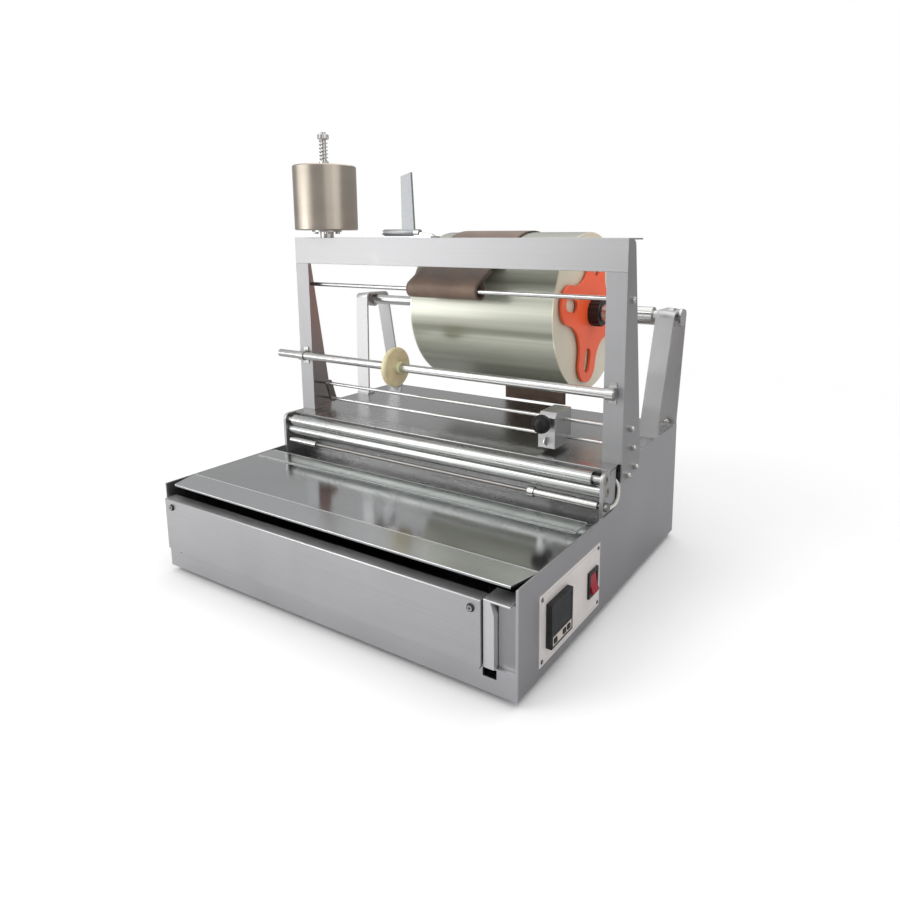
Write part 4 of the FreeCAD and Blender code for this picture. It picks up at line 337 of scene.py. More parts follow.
@dataclass(frozen=True)
class PolishedSteel(Finish):
    """Turned or ground steel with faint rings and handling marks."""

    tint: Colour = (0.58, 0.58, 0.57)
    roughness: float = 0.24
    grain: Grain = Grain.ALONG_Y
    smears: float = 35.0
    depth: float = 0.0015 * MM

    def material(self) -> bpy.types.Material:
        """Build the finish.

        Returns:
            The material.
        """
        material, graph, link = new_material(self.name, metallic=1.0)
        rings = graph.noise(1.6, 2.0, self.grain.value, 0.5)
        smears = graph.noise(self.smears, 3.0)
        link(
            base_color=graph.mix(graph.ramp(smears, 0.3, 0.7), shade(self.tint, 0.88), self.tint),
            roughness=self.roughness + (smears - 0.5) * 0.08,
            normal=graph.bump(rings, self.depth, 0.3),
        )
        return material


@dataclass(frozen=True)
class TablePolish(Finish):
    """Near-mirror sheet with painted highlight lines along its folds, smeared where film and parcels slide.

    Folds holds each fold's Y, and in front of the Y in lip the sheet has painted light and is duller.
    """

    folds: tuple[float, ...]
    lip: float
    tint: Colour = (0.47, 0.48, 0.485)
    roughness: float = 0.10
    fold_highlight_width: float = 1.1 * MM
    wave_depth: float = 0.12 * MM
    wave_stretch: Point = (0.4, 1.6, 1.0)
    streak_stretch: Point = (3.0, 120.0, 3.0)
    worn_patches: float = 10.0

    def material(self) -> bpy.types.Material:
        """Build the finish.

        Returns:
            The material.
        """
        material, graph, link = new_material(self.name, metallic=1.0)
        waves = graph.noise(4.0, 2.0, self.wave_stretch)
        streaks = graph.noise(1.0, 3.0, self.streak_stretch, 0.6)
        worn = graph.ramp(graph.noise(self.worn_patches, 5.0, rough=0.6), 0.45, 0.75)
        # Painted highlight: a bright line along each fold.
        fold = 0.0
        for place in self.folds:
            fold = (graph.away("Y", place) < self.fold_highlight_width) + fold
        lip = graph.axis("Y") < self.lip
        plain = graph.mix(worn * 0.6 + streaks * 0.4, self.tint, shade(self.tint, 0.88))
        # Painted light on the sheet in front of the lip.
        lit = graph.mix(lip * 0.5, plain, shade(self.tint, 1.25))
        link(
            base_color=graph.mix(graph.ramp(fold, 0.0, 1.0), lit, shade(self.tint, 1.4)),
            roughness=self.roughness + worn * 0.06 + (streaks - 0.5) * 0.05 + fold * 0.25 + lip * 0.10,
            normal=graph.bump(waves * 0.95 + streaks * 0.05, self.wave_depth, 0.5),
        )
        return material


@dataclass(frozen=True)
class Plastic(Finish):
    """Moulded plastic or rubber with a fine grain of some depth, and a little dust."""

    tint: Colour
    roughness: float = 0.45
    grain: float = 0.04 * MM
    coat: float = 0.0
    gleam: float = 0.35
    pits: float = 1800.0
    dust: float = 60.0

    def material(self) -> bpy.types.Material:
        """Build the finish.

        Returns:
            The material.
        """
        material, graph, link = new_material(self.name, coat_weight=self.coat, specular_ior_level=self.gleam)
        pits = graph.noise(self.pits, 2.0)
        dust = graph.noise(self.dust, 4.0)
        link(
            base_color=graph.mix(graph.ramp(dust, 0.45, 0.75), self.tint, shade(self.tint, 1.25, 0.01)),
            roughness=self.roughness + (dust - 0.5) * 0.16,
            normal=graph.bump(pits, self.grain, 0.4),
        )
        return material


@dataclass(frozen=True)
class Paint(Finish):
    """Sprayed paint with orange peel, rubbed patches and a little grime."""

    tint: Colour
    roughness: float = 0.40
    peel: float = 420.0
    peel_depth: float = 0.05 * MM
    rubbed: float = 45.0
    grime: float = 16.0

    def material(self) -> bpy.types.Material:
        """Build the finish.

        Returns:
            The material.
        """
        material, graph, link = new_material(self.name, coat_weight=0.2)
        peel = graph.noise(self.peel, 2.0)
        rubbed = graph.ramp(graph.noise(self.rubbed, 5.0), 0.58, 0.76)
        grime = graph.ramp(graph.noise(self.grime, 3.0), 0.50, 0.80)
        link(
            base_color=graph.mix(rubbed * 0.4 + grime * 0.2, self.tint, shade(self.tint, 0.78)),
            roughness=self.roughness + rubbed * 0.2,
            normal=graph.bump(peel, self.peel_depth, 0.35),
        )
        return material


@dataclass(frozen=True)
class TurnedNylon(Finish):
    """Cream nylon with rings from the lathe round its own axis, whose Y and Z are its centre."""

    centre: tuple[float, float]
    tint: Colour = (0.69, 0.63, 0.39)
    roughness: float = 0.42
    ring_pitch: float = 1.2 * MM
    ring_depth: float = 0.05 * MM
    stains: float = 70.0

    def material(self) -> bpy.types.Material:
        """Build the finish.

        Returns:
            The material.
        """
        material, graph, link = new_material(self.name, subsurface_weight=0.15)
        rings = graph.sine(graph.radius("YZ", self.centre) * (math.tau / self.ring_pitch))
        stains = graph.noise(self.stains, 4.0)
        link(
            base_color=graph.mix(graph.ramp(stains, 0.4, 0.75), self.tint, shade(self.tint, 0.82)),
            roughness=self.roughness + (stains - 0.5) * 0.2,
            normal=graph.bump(rings, self.ring_depth, 0.5),
        )
        return material


@dataclass(frozen=True)
class WoundFilm(Finish):
    """Clear film on a roll: painted reflection streaks, painted highlight rims and beige wound edges at its
    ends.

    Centre is the axis in Y and Z, ends are the roll's two X and outside is its radius.
    """

    centre: tuple[float, float]
    ends: tuple[float, float]
    outside: float
    # Tint and dark are the two colours of the painted reflection streaks on the roll's side.
    tint: Colour = (0.54, 0.55, 0.46)
    dark: Colour = (0.25, 0.26, 0.20)
    edge_tint: Colour = (0.50, 0.455, 0.35)
    roughness: float = 0.30
    metal: float = 0.42
    rim: float = 1.6 * MM
    skin: float = 0.1 * MM
    layers: float = 500.0
    depth: float = 0.45 * MM
    broad_stretch: Point = (0.25, 17.0, 17.0)
    fine_stretch: Point = (0.4, 75.0, 75.0)

    def material(self) -> bpy.types.Material:
        """Build the finish.

        Returns:
            The material.
        """
        material, graph, link = new_material(self.name, coat_weight=0.9, coat_roughness=0.16)
        middle, half = sum(self.ends) / 2, (self.ends[1] - self.ends[0]) / 2
        from_middle = graph.away("X", middle)
        at_end = from_middle > (half - self.skin)
        away = graph.radius("YZ", self.centre)
        layers = graph.node("ShaderNodeTexNoise", {"noise_dimensions": "1D"},
                            {"W": away, "Scale": self.layers, "Detail": 4.0})
        broad = graph.noise(1.0, 1.0, self.broad_stretch, 0.4)
        fine = graph.noise(1.0, 2.0, self.fine_stretch, 0.5)
        # Painted reflection: the roll's side turns between two colours in soft streaks along it.
        bands = graph.ramp(broad * 0.5 + fine * 0.5, 0.36, 0.62)
        side = graph.mix(bands, self.dark, self.tint)
        pale_turns = graph.ramp(layers, 0.35, 0.65)
        ends = graph.mix(pale_turns, shade(self.edge_tint, 0.86), shade(self.edge_tint, 1.08))
        # Painted highlight along the roll's rims at both ends.
        outer_rim_highlight = at_end * (away > (self.outside - self.rim))
        rim = graph.ramp(outer_rim_highlight + (from_middle > (half - self.rim)), 0.0, 1.0)
        ridges = (broad * 0.8 + fine * 0.2) * (1.0 - at_end) + layers * at_end * 0.1
        link(
            base_color=graph.mix(rim * 0.75, graph.mix(at_end, side, ends), shade(self.edge_tint, 1.55)),
            metallic=(1.0 - at_end) * self.metal,
            roughness=self.roughness + at_end * 0.20 + (fine - 0.5) * 0.06,
            normal=graph.bump(ridges, self.depth, 0.35),
        )
        return material


@dataclass(frozen=True)
class WoundTape(Finish):
    """Metallised tape wound on an upright spool, with its fine turns just showing."""

    tint: Colour = (0.47, 0.415, 0.35)
    roughness: float = 0.30
    turn_pitch: float = 1.6 * MM
    turn_depth: float = 0.012 * MM
    cloud_stretch: Point = (14.0, 14.0, 60.0)

    def material(self) -> bpy.types.Material:
        """Build the finish.

        Returns:
            The material.
        """
        material, graph, link = new_material(self.name, coat_weight=0.15)
        turns = graph.sine(graph.axis("Z") * (math.tau / self.turn_pitch) + graph.noise(30.0, 2.0) * 4.0)
        cloud = graph.noise(1.0, 3.0, self.cloud_stretch)
        link(
            base_color=graph.mix(graph.ramp(cloud, 0.3, 0.7), shade(self.tint, 0.90), self.tint),
            metallic=0.9,
            roughness=self.roughness + (cloud - 0.5) * 0.08,
            normal=graph.bump(turns, self.turn_depth, 0.3),
        )
        return material


@dataclass(frozen=True)
class Leather(Finish):
    """Brown strap leather with a pebbled face, creases and darker edges at the two X in sides."""

    sides: tuple[float, float]
    tint: Colour = (0.140, 0.090, 0.062)
    roughness: float = 0.56
    pebbles: float = 900.0
    crease_stretch: Point = (14.0, 120.0, 120.0)
    wear: float = 38.0
    rim: float = 3.5 * MM
    depth: float = 0.35 * MM

    def material(self) -> bpy.types.Material:
        """Build the finish.

        Returns:
            The material.
        """
        material, graph, link = new_material(self.name, sheen_weight=0.15)
        pebbles = graph.node("ShaderNodeTexVoronoi", {"feature": "SMOOTH_F1"},
                             {"Vector": graph.place(), "Scale": self.pebbles, "Smoothness": 0.6}, "Distance")
        creases = graph.noise(1.0, 4.0, self.crease_stretch, 0.6)
        wear = graph.noise(self.wear, 5.0)
        middle, half = sum(self.sides) / 2, (self.sides[1] - self.sides[0]) / 2
        rim = graph.ramp(graph.away("X", middle), half - self.rim, half)
        face = graph.mix(graph.ramp(wear, 0.40, 0.70), self.tint, shade(self.tint, 1.4))
        link(
            base_color=graph.mix(rim * 0.7, face, shade(self.tint, 0.45)),
            roughness=self.roughness + (wear - 0.5) * 0.25,
            normal=graph.bump(pebbles * 0.5 + creases * 0.5, self.depth, 0.6),
        )
        return material


@dataclass(frozen=True)
class GlassSleeve(Finish):
    """White glass-fibre braid over a lead, a little sooty, with painted shade between its strands."""

    tint: Colour = (0.80, 0.78, 0.74)
    roughness: float = 0.72
    braid: float = 700.0
    braid_depth: float = 0.2 * MM
    soot: float = 90.0

    def material(self) -> bpy.types.Material:
        """Build the finish.

        Returns:
            The material.
        """
        material, graph, link = new_material(self.name, roughness=self.roughness)
        turns = [graph.node("ShaderNodeTexWave", {"bands_direction": "DIAGONAL"},
                            {"Vector": graph.place((side, 1.0, 1.0)), "Scale": self.braid, "Distortion": 0.4},
                            "Fac")
                 for side in (1.0, -1.0)]
        braid = turns[0] * turns[1]
        # Painted shade: the braid is darker where its strands dip.
        shaded_braid = graph.mix(braid, shade(self.tint, 0.72), self.tint)
        soot = graph.ramp(graph.noise(self.soot, 3.0), 0.5, 0.8)
        link(
            base_color=graph.mix(soot * 0.4, shaded_braid, shade(self.tint, 0.5)),
            normal=graph.bump(braid, self.braid_depth, 0.6),
        )
        return material


@dataclass(frozen=True)
class Enamel(Finish):
    """White enamelled plate with a thin border line and a faint yellowing, between two corners."""

    low: Vector
    high: Vector
    tint: Colour = (0.62, 0.58, 0.56)
    line_tint: Colour = (0.16, 0.15, 0.15)
    roughness: float = 0.42
    border: float = 3.2 * MM
    line: float = 0.25 * MM
    clouds: float = 22.0
    grain: float = 900.0
    depth: float = 0.02 * MM

    def material(self) -> bpy.types.Material:
        """Build the finish.

        Returns:
            The material.
        """
        material, graph, link = new_material(self.name, coat_weight=0.3)
        middle, half = (self.low + self.high) / 2, (self.high - self.low) / 2
        rims = [half[index] - graph.away(letter, middle[index]) for index, letter in ((1, "Y"), (2, "Z"))]
        inset = graph.node("ShaderNodeMath", {"operation": "MINIMUM"}, {0: rims[0], 1: rims[1]})
        line = abs(inset - self.border) < self.line
        cloud = graph.noise(self.clouds, 4.0)
        base = graph.mix(graph.ramp(cloud, 0.4, 0.75), self.tint, shade(self.tint, 0.9))
        link(
            base_color=graph.mix(line * 0.55, base, self.line_tint),
            roughness=self.roughness + (cloud - 0.5) * 0.2,
            normal=graph.bump(graph.noise(self.grain, 2.0), self.depth, 0.3),
        )
        return material


@dataclass(frozen=True)
class CrossHeads(Finish):
    """Bright screws with painted shade in their cross recess and round their heads, on the front plate and at
    the label plate's corners.

    Front holds the pair's middle X, its reach to either side and its Z, and corners the label
    plate's middle and reach in Y, then in Z. Arm, width and ring are shares of a screw's radius.
    """

    front: tuple[float, float, float]
    corners: tuple[float, float, float, float]
    tint: Colour = (0.55, 0.55, 0.54)
    recess_shade_tint: Colour = (0.06, 0.06, 0.06)
    roughness: float = 0.26
    smears: float = 120.0
    front_radius: float = 4.0 * MM
    corner_radius: float = 2.2 * MM
    arm: float = 0.45
    width: float = 0.13
    ring: tuple[float, float] = (0.74, 1.3)
    recess_depth: float = 0.6 * MM

    def marks(self, graph: Graph, across: Channel, up: Channel, radius: float) -> Channel:
        """The mask of a cross recess and of a ring round a screw's head, which are painted as shade.

        Args:
            graph: The material's graph.
            across: Distance from the screw's middle, one way.
            up: Distance from the screw's middle, the other way.
            radius: The screw's radius.

        Returns:
            1 inside the marks and 0 outside them.
        """
        long, wide = radius * self.arm, radius * self.width
        bars = (across < wide) * (up < long) + (up < wide) * (across < long)
        away = (across * across + up * up) ** 0.5
        ring = (away > radius * self.ring[0]) * (away < radius * self.ring[1])
        return graph.ramp(bars + ring, 0.0, 1.0)

    def material(self) -> bpy.types.Material:
        """Build the finish.

        Returns:
            The material.
        """
        material, graph, link = new_material(self.name, metallic=1.0)
        middle, reach, height = self.front
        front = self.marks(graph, abs(graph.away("X", middle) - reach), graph.away("Z", height),
                           self.front_radius)
        middle_y, reach_y, middle_z, reach_z = self.corners
        side = self.marks(graph, abs(graph.away("Y", middle_y) - reach_y),
                          abs(graph.away("Z", middle_z) - reach_z), self.corner_radius)
        # Painted shade: the recess and the ring round each head take a near-black colour.
        cross = graph.ramp(front + side, 0.0, 1.0)
        smears = graph.noise(self.smears, 3.0)
        link(
            base_color=graph.mix(cross, self.tint, self.recess_shade_tint),
            roughness=self.roughness + cross * 0.3 + (smears - 0.5) * 0.2,
            normal=graph.bump(1.0 - cross, self.recess_depth, 0.8),
        )
        return material


@dataclass(frozen=True)
class ControllerFace(Finish):
    """Black controller case with the pale strip that its keys stand in, between two corners."""

    low: Vector
    high: Vector
    tint: Colour = (0.010, 0.010, 0.011)
    dust_tint: Colour = (0.028, 0.028, 0.030)
    strip_tint: Colour = (0.50, 0.46, 0.41)
    roughness: float = 0.40
    strip: tuple[float, float] = (2.6 * MM, 12.4 * MM)
    margin: float = 3.0 * MM
    skin: float = 0.2 * MM
    dust: float = 60.0
    grain: float = 1500.0
    depth: float = 0.03 * MM

    def material(self) -> bpy.types.Material:
        """Build the finish.

        Returns:
            The material.
        """
        material, graph, link = new_material(self.name, specular_ior_level=0.3)
        at_front = graph.axis("X") > (self.high.x - self.skin)
        middle, half = (self.low.y + self.high.y) / 2, (self.high.y - self.low.y) / 2
        height = sum(self.strip) / 2 + self.low.z
        tall = (self.strip[1] - self.strip[0]) / 2
        strip = at_front * (graph.away("Y", middle) < half - self.margin) * (graph.away("Z", height) < tall)
        dust = graph.ramp(graph.noise(self.dust, 4.0), 0.45, 0.75)
        case = graph.mix(dust, self.tint, self.dust_tint)
        link(
            base_color=graph.mix(strip, case, self.strip_tint),
            roughness=self.roughness + dust * 0.12,
            normal=graph.bump(graph.noise(self.grain, 2.0), self.depth, 0.4),
        )
        return material


def mesh_object(name: str, points: Sequence[Point], faces: Sequence[Sequence[int]],
                smooth: bool) -> bpy.types.Object:
    """Make an object from points and faces.

    Args:
        name: The object's name.
        points: Its points in the frame's axes, in metres.
        faces: Its faces as point numbers.
        smooth: True for smooth shading.

    Returns:
        The object, in the scene.
    """
    mesh = bpy.data.meshes.new(name)
    mesh.from_pydata(points, [], faces)
    mesh.validate()
    mesh.polygons.foreach_set("use_smooth", [smooth] * len(mesh.polygons))
    made = bpy.data.objects.new(name, mesh)
    bpy.context.scene.collection.objects.link(made)
    return made


def sheet_faces(rows: int, columns: int) -> list[tuple[int, int, int, int]]:
    """The four-sided faces of a sheet whose points are numbered row by row.

    Args:
        rows: How many rows of points there are.
        columns: How many points are in each row.

    Returns:
        The faces as point numbers.
    """
    firsts = [row * columns + column for row in range(rows - 1) for column in range(columns - 1)]
    return [(first, first + 1, first + columns + 1, first + columns) for first in firsts]


def centre_of(node: str) -> Vector:
    """The middle of a CAD node's box."""
    low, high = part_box(node)
    return (low + high) / 2


def radius_of(node: str) -> float:
    """The radius of a round CAD node whose axis lies level."""
    low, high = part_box(node)
    return (high.z - low.z) / 2


def soften(width: float, *nodes: str) -> None:
    """Round the hard edges of CAD nodes with modifiers, which leave their own meshes alone.

    Args:
        width: The bevel's width in metres.
        *nodes: The nodes' names.
    """
    for node in nodes:
        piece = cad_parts[node]
        weld = piece.modifiers.new("weld", "WELD")
        weld.merge_threshold = WELD_GAP
        bevel = piece.modifiers.new("soft_edges", "BEVEL")
        bevel.width = width
        bevel.segments = BEVEL_FACES
        bevel.limit_method = "ANGLE"
        bevel.angle_limit = SHARP_ANGLE
        bevel.harden_normals = True
        bevel.use_clamp_overlap = True


def dress(finish: Finish, *nodes: str) -> list[str]:
    """Give CAD nodes a finish.

    Args:
        finish: The finish, whose material is built here.
        *nodes: The nodes' names.

    Returns:
        The names, for the log.
    """
    material = finish.material()
    for name in nodes:
        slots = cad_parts[name].data.materials
        slots.clear()
        slots.append(material)
    return list(nodes)


@dataclass
class Cabinet:
    """Base shell, deck, table and the sheets in front.

    Lip is the width of the table's front bend, and apron the depth of the shell's front that has painted
    light.
    """

    edge: float = 0.5 * MM
    lip: float = 37.0 * MM
    apron: float = 8.0 * MM
    strip_highlight_inset: float = 1.2 * MM

    def build(self) -> list[str]:
        """Dress the cabinet's nodes.

        Returns:
            The nodes' names.
        """
        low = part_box("table_plate")[0]
        strip_low, strip_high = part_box("film_strip")
        inset = self.strip_highlight_inset
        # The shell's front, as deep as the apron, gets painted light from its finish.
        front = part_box("base_shell")[0].y + self.apron
        done = dress(BrushedSteel("brushed_sheet", front=front), "base_shell", "bottom_cover")
        done += dress(BrushedSteel("brushed_cheek", (0.80, 0.80, 0.805), 0.42, Grain.ALONG_Z), "front_cheek")
        done += dress(BrushedSteel("brushed_front", (0.60, 0.60, 0.605)), "front_plate")
        done += dress(BrushedSteel("brushed_deck", (0.42, 0.42, 0.42), 0.26), "rear_deck")
        # The table has a painted highlight along its bend and painted light in front of it.
        bend = low.y + self.lip
        done += dress(TablePolish("table_polish", (bend,), bend), "table_plate")
        # The film strip has painted highlight lines just inside its two edges.
        done += dress(TablePolish("strip_polish", (strip_low.y + inset, strip_high.y - inset),
                                  strip_low.y - inset, (0.52, 0.54, 0.53), 0.15), "film_strip")
        done += dress(Plastic("foot_rubber", (0.02, 0.02, 0.02), 0.7, 0.1 * MM), "rubber_feet")
        soften(self.edge, "base_shell", "rear_deck", "front_plate", "front_cheek")
        return done


@dataclass
class ControlPanel:
    """Label plate, controller, keys and rocker switch on the right side."""

    corner_inset: float = 5.0 * MM
    head_radius: float = 4.5 * MM
    front_inset: float = 11.0 * MM
    edge: float = 0.4 * MM

    def screws(self) -> CrossHeads:
        """The finish of the screws, placed from their own box and the label plate's.

        Returns:
            The finish.
        """
        low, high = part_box("cover_screws")
        plate_low, plate_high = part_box("control_plate")
        left = low.x + self.head_radius
        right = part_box("front_plate")[1].x - self.front_inset
        inset = Vector((0.0, self.corner_inset, self.corner_inset))
        middle, reach = (plate_low + plate_high) / 2, (plate_high - plate_low) / 2 - inset
        front = ((left + right) / 2, (right - left) / 2, high.z - self.head_radius)
        return CrossHeads("screw_steel", front, (middle.y, reach.y, middle.z, reach.z))

    def build(self) -> list[str]:
        """Dress the panel's nodes.

        Returns:
            The nodes' names.
        """
        done = dress(Enamel("panel_enamel", *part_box("control_plate")), "control_plate")
        done += dress(self.screws(), "cover_screws")
        done += dress(ControllerFace("controller_case", *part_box("controller_body")), "controller_body")
        done += dress(Plastic("switch_black", (0.010, 0.010, 0.011), 0.42), "switch_body")
        done += dress(Plastic("window_smoke", (0.009, 0.011, 0.013), 0.28, 0.0, 0.05, 0.15),
                      "controller_window")
        done += dress(Plastic("key_rubber", (0.012, 0.012, 0.012), 0.6), "controller_key_set",
                      "controller_key_down", "controller_key_up")
        done += dress(Plastic("switch_red", (0.27, 0.004, 0.014), 0.28, 0.005 * MM), "switch_rocker")
        soften(self.edge, "controller_body")
        return done


@dataclass
class Gantry:
    """Posts, beam, rods, guide wheel and cutter."""

    edge: float = 0.5 * MM

    def build(self) -> list[str]:
        """Dress the frame and its rods.

        Returns:
            The nodes' names.
        """
        post = BrushedSteel("brushed_post", (0.40, 0.40, 0.405), 0.48, Grain.ALONG_Z)
        done = dress(post, "frame_post_left", "frame_post_right")
        done += dress(BrushedSteel("brushed_beam", (0.44, 0.44, 0.445), 0.46), "frame_top_beam")
        done += dress(PolishedSteel("ground_rod", (0.54, 0.54, 0.53), 0.26), "upper_film_rod",
                      "tape_guide_bar", "guide_bar_clips", "cutter_rods")
        done += dress(PolishedSteel("nut_steel", (0.55, 0.54, 0.52), 0.2), "frame_acorn_nuts")
        done += dress(Plastic("knob_black", (0.007, 0.006, 0.007), 0.38, 0.02 * MM, 0.0, 0.3),
                      "upper_rod_knob", "cutter_knob")
        wheel = centre_of("tape_guide_wheel")
        done += dress(TurnedNylon("wheel_nylon", (wheel.y, wheel.z)), "tape_guide_wheel")
        done += dress(BrushedSteel("milled_block", (0.58, 0.58, 0.58), 0.4), "cutter_slider")
        done += dress(PolishedSteel("blade_steel", (0.6, 0.6, 0.6), 0.22), "cutter_blade")
        soften(self.edge, "frame_post_left", "frame_post_right", "frame_top_beam", "cutter_slider")
        return done


@dataclass
class TapeUnit:
    """Tear-tape spool, its brake and the tape lever."""

    edge: float = 0.3 * MM

    def build(self) -> list[str]:
        """Dress the unit's nodes.

        Returns:
            The nodes' names.
        """
        done = dress(WoundTape("wound_tape"), "tape_spool")
        done += dress(PolishedSteel("unit_steel", (0.56, 0.55, 0.53), 0.26), "spool_base", "spool_spindle",
                      "spool_pressure_cone", "spool_nut", "spool_spring", "lever_bracket")
        done += dress(BrushedSteel("lever_steel", (0.36, 0.37, 0.38), 0.46, Grain.ALONG_Z), "tape_lever")
        soften(self.edge, "tape_lever")
        return done


@dataclass
class FilmUnit:
    """Film roll on its chucks, the stands and the leather brake strap.

    Loop is the width of the strap's loop round its rod, flap its lapped end, gap its distance from
    rod and roll, and loop turn the degrees that the loop runs through. Flap drop is a share of the
    loop's radius and flap lift a share of the gauge.
    """

    strap_gauge: float = 2.0 * MM
    strap_loop: float = 20.0 * MM
    strap_gap: float = 0.4 * MM
    strap_flap: float = 26.0 * MM
    flap_drop: float = 1.2
    flap_lift: float = 0.6
    loop_turn: float = 300.0
    loop_step: float = 15.0
    columns: int = 24
    span_rows: int = 8
    wrap_rows: int = 40
    tail_rows: int = 16
    edge: float = 0.5 * MM

    def build(self) -> list[str]:
        """Dress the roll and its carriers, and make the strap.

        Returns:
            The pieces' names.
        """
        low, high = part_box("film_roll")
        middle = centre_of("film_roll")
        done = dress(WoundFilm("wound_film", (middle.y, middle.z), (low.x, high.x), radius_of("film_roll")),
                     "film_roll")
        done += dress(Plastic("core_card", (0.36, 0.25, 0.15), 0.8, 0.1 * MM), "film_core")
        done += dress(Paint("chuck_orange", (0.95, 0.115, 0.030)), "roll_chuck_left", "roll_chuck_right")
        done += dress(Plastic("nut_black", (0.018, 0.013, 0.013), 0.4), "chuck_nuts")
        done += dress(PolishedSteel("shaft_steel", grain=Grain.ALONG_X), "roll_shaft")
        done += dress(BrushedSteel("bent_bar", (0.50, 0.50, 0.505), 0.46, Grain.ALONG_Z), "stand_left",
                      "stand_right")
        soften(self.edge, "roll_chuck_left", "roll_chuck_right", "stand_left", "stand_right")
        done.append(self.strap().name)
        return done

    def strap_line(self) -> list[tuple[float, float]]:
        """The strap's inner line in the YZ plane, from its lapped end to the end of its tail.

        Returns:
            (y, z) pairs in metres.
        """
        rod, roll = centre_of("upper_film_rod"), centre_of("film_roll")
        small, large = self.strap_loop / 2, radius_of("film_roll") + self.strap_gap
        loop = Vector((rod.y + small - radius_of("upper_film_rod") - self.strap_gap, rod.z))
        centre = Vector((roll.y, roll.z))
        across = centre - loop
        angle = math.atan2(across.y, across.x) + math.acos((small - large) / across.length)
        along = Vector((math.sin(angle), -math.cos(angle)))
        normal = Vector((math.cos(angle), math.sin(angle)))

        def on(middle: Vector, radius: float, turn: float) -> Vector:
            """A point at a turn round a circle."""
            return middle + Vector((math.cos(turn), math.sin(turn))) * radius

        start, end = on(loop, small, angle), on(centre, large, angle)
        flap_root = start + along * (small * self.flap_drop) - normal * (self.strap_gauge * self.flap_lift)
        points = [flap_root + along * (self.strap_flap * share) for share in (1.0, 0.5, 0.0)]
        loop_rows = round(self.loop_turn / self.loop_step)
        points += [on(loop, small, angle + math.radians(self.loop_turn - self.loop_step * row))
                   for row in range(loop_rows + 1)]
        points += [start.lerp(end, row / self.span_rows) for row in range(1, self.span_rows)]
        points += [on(centre, large, angle * (1 - row / self.wrap_rows)) for row in range(self.wrap_rows + 1)]
        last = points[-1]
        hang = last.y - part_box("brake_strap")[0].z
        points += [Vector((last.x, last.y - hang * row / self.tail_rows))
                   for row in range(1, self.tail_rows + 1)]
        return [(point.x, point.y) for point in points]

    def strap(self) -> bpy.types.Object:
        """Make the strap as one sheet of leather with a thickness.

        Returns:
            The strap.
        """
        low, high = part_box("brake_strap")
        line = self.strap_line()
        points = [(low.x + (high.x - low.x) * column / self.columns, y, z)
                  for y, z in line for column in range(self.columns + 1)]
        strap = mesh_object("leather_strap", points, sheet_faces(len(line), self.columns + 1), True)
        thick = strap.modifiers.new("thickness", "SOLIDIFY")
        thick.thickness = self.strap_gauge
        thick.offset = 1.0
        strap.data.materials.append(Leather("strap_leather", (low.x, high.x)).material())
        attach(strap, MACHINE)
        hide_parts("brake_strap")
        return strap


@dataclass
class FeedUnit:
    """Feed rollers, their brackets, the heated cutting rod and its lead."""

    edge: float = 0.4 * MM

    def build(self) -> list[str]:
        """Dress the rollers and the lead.

        Returns:
            The nodes' names.
        """
        done = dress(PolishedSteel("roller_steel", (0.48, 0.49, 0.48), 0.28, Grain.ALONG_X),
                     "upper_feed_roller", "lower_feed_roller")
        done += dress(BrushedSteel("bracket_steel", (0.48, 0.48, 0.48), 0.40, Grain.ALONG_Z),
                      "roller_bracket_left", "roller_bracket_right")
        done += dress(PolishedSteel("bush_steel", (0.40, 0.37, 0.31), 0.35), "roller_bushes")
        done += dress(PolishedSteel("rod_dark", (0.24, 0.23, 0.22), 0.3), "cutting_rod")
        done += dress(PolishedSteel("sleeve_steel", (0.56, 0.56, 0.54), 0.26), "cutting_rod_sleeves")
        done += dress(GlassSleeve("lead_braid"), "heater_lead")
        soften(self.edge, "roller_bracket_left", "roller_bracket_right")
        return done


@dataclass
class Inside:
    """What sits inside the base, and the gland behind it."""

    def build(self) -> list[str]:
        """Dress the inner nodes.

        Returns:
            The nodes' names.
        """
        done = dress(BrushedSteel("milled_aluminium", (0.6, 0.6, 0.6), 0.4), "heater_plate",
                     "solid_state_relay")
        done += dress(Plastic("terminal_cream", (0.6, 0.56, 0.42), 0.5), "terminal_block")
        done += dress(Plastic("gland_black", (0.02, 0.02, 0.02), 0.5), "cable_gland")
        return done


@dataclass(frozen=True)
class Lamp:
    """A soft square lamp: its name, its place, its width in metres and its watts."""

    name: str
    place: Point
    size: float
    power: float

    def light(self, aim: Point) -> None:
        """Put the lamp in the scene.

        Args:
            aim: The place that it points at.
        """
        data = bpy.data.lights.new(self.name, "AREA")
        data.size = self.size
        data.energy = self.power
        lamp = bpy.data.objects.new(self.name, data)
        lamp.location = self.place
        lamp.rotation_euler = (Vector(aim) - Vector(self.place)).to_track_quat("-Z", "Y").to_euler()
        bpy.context.scene.collection.objects.link(lamp)


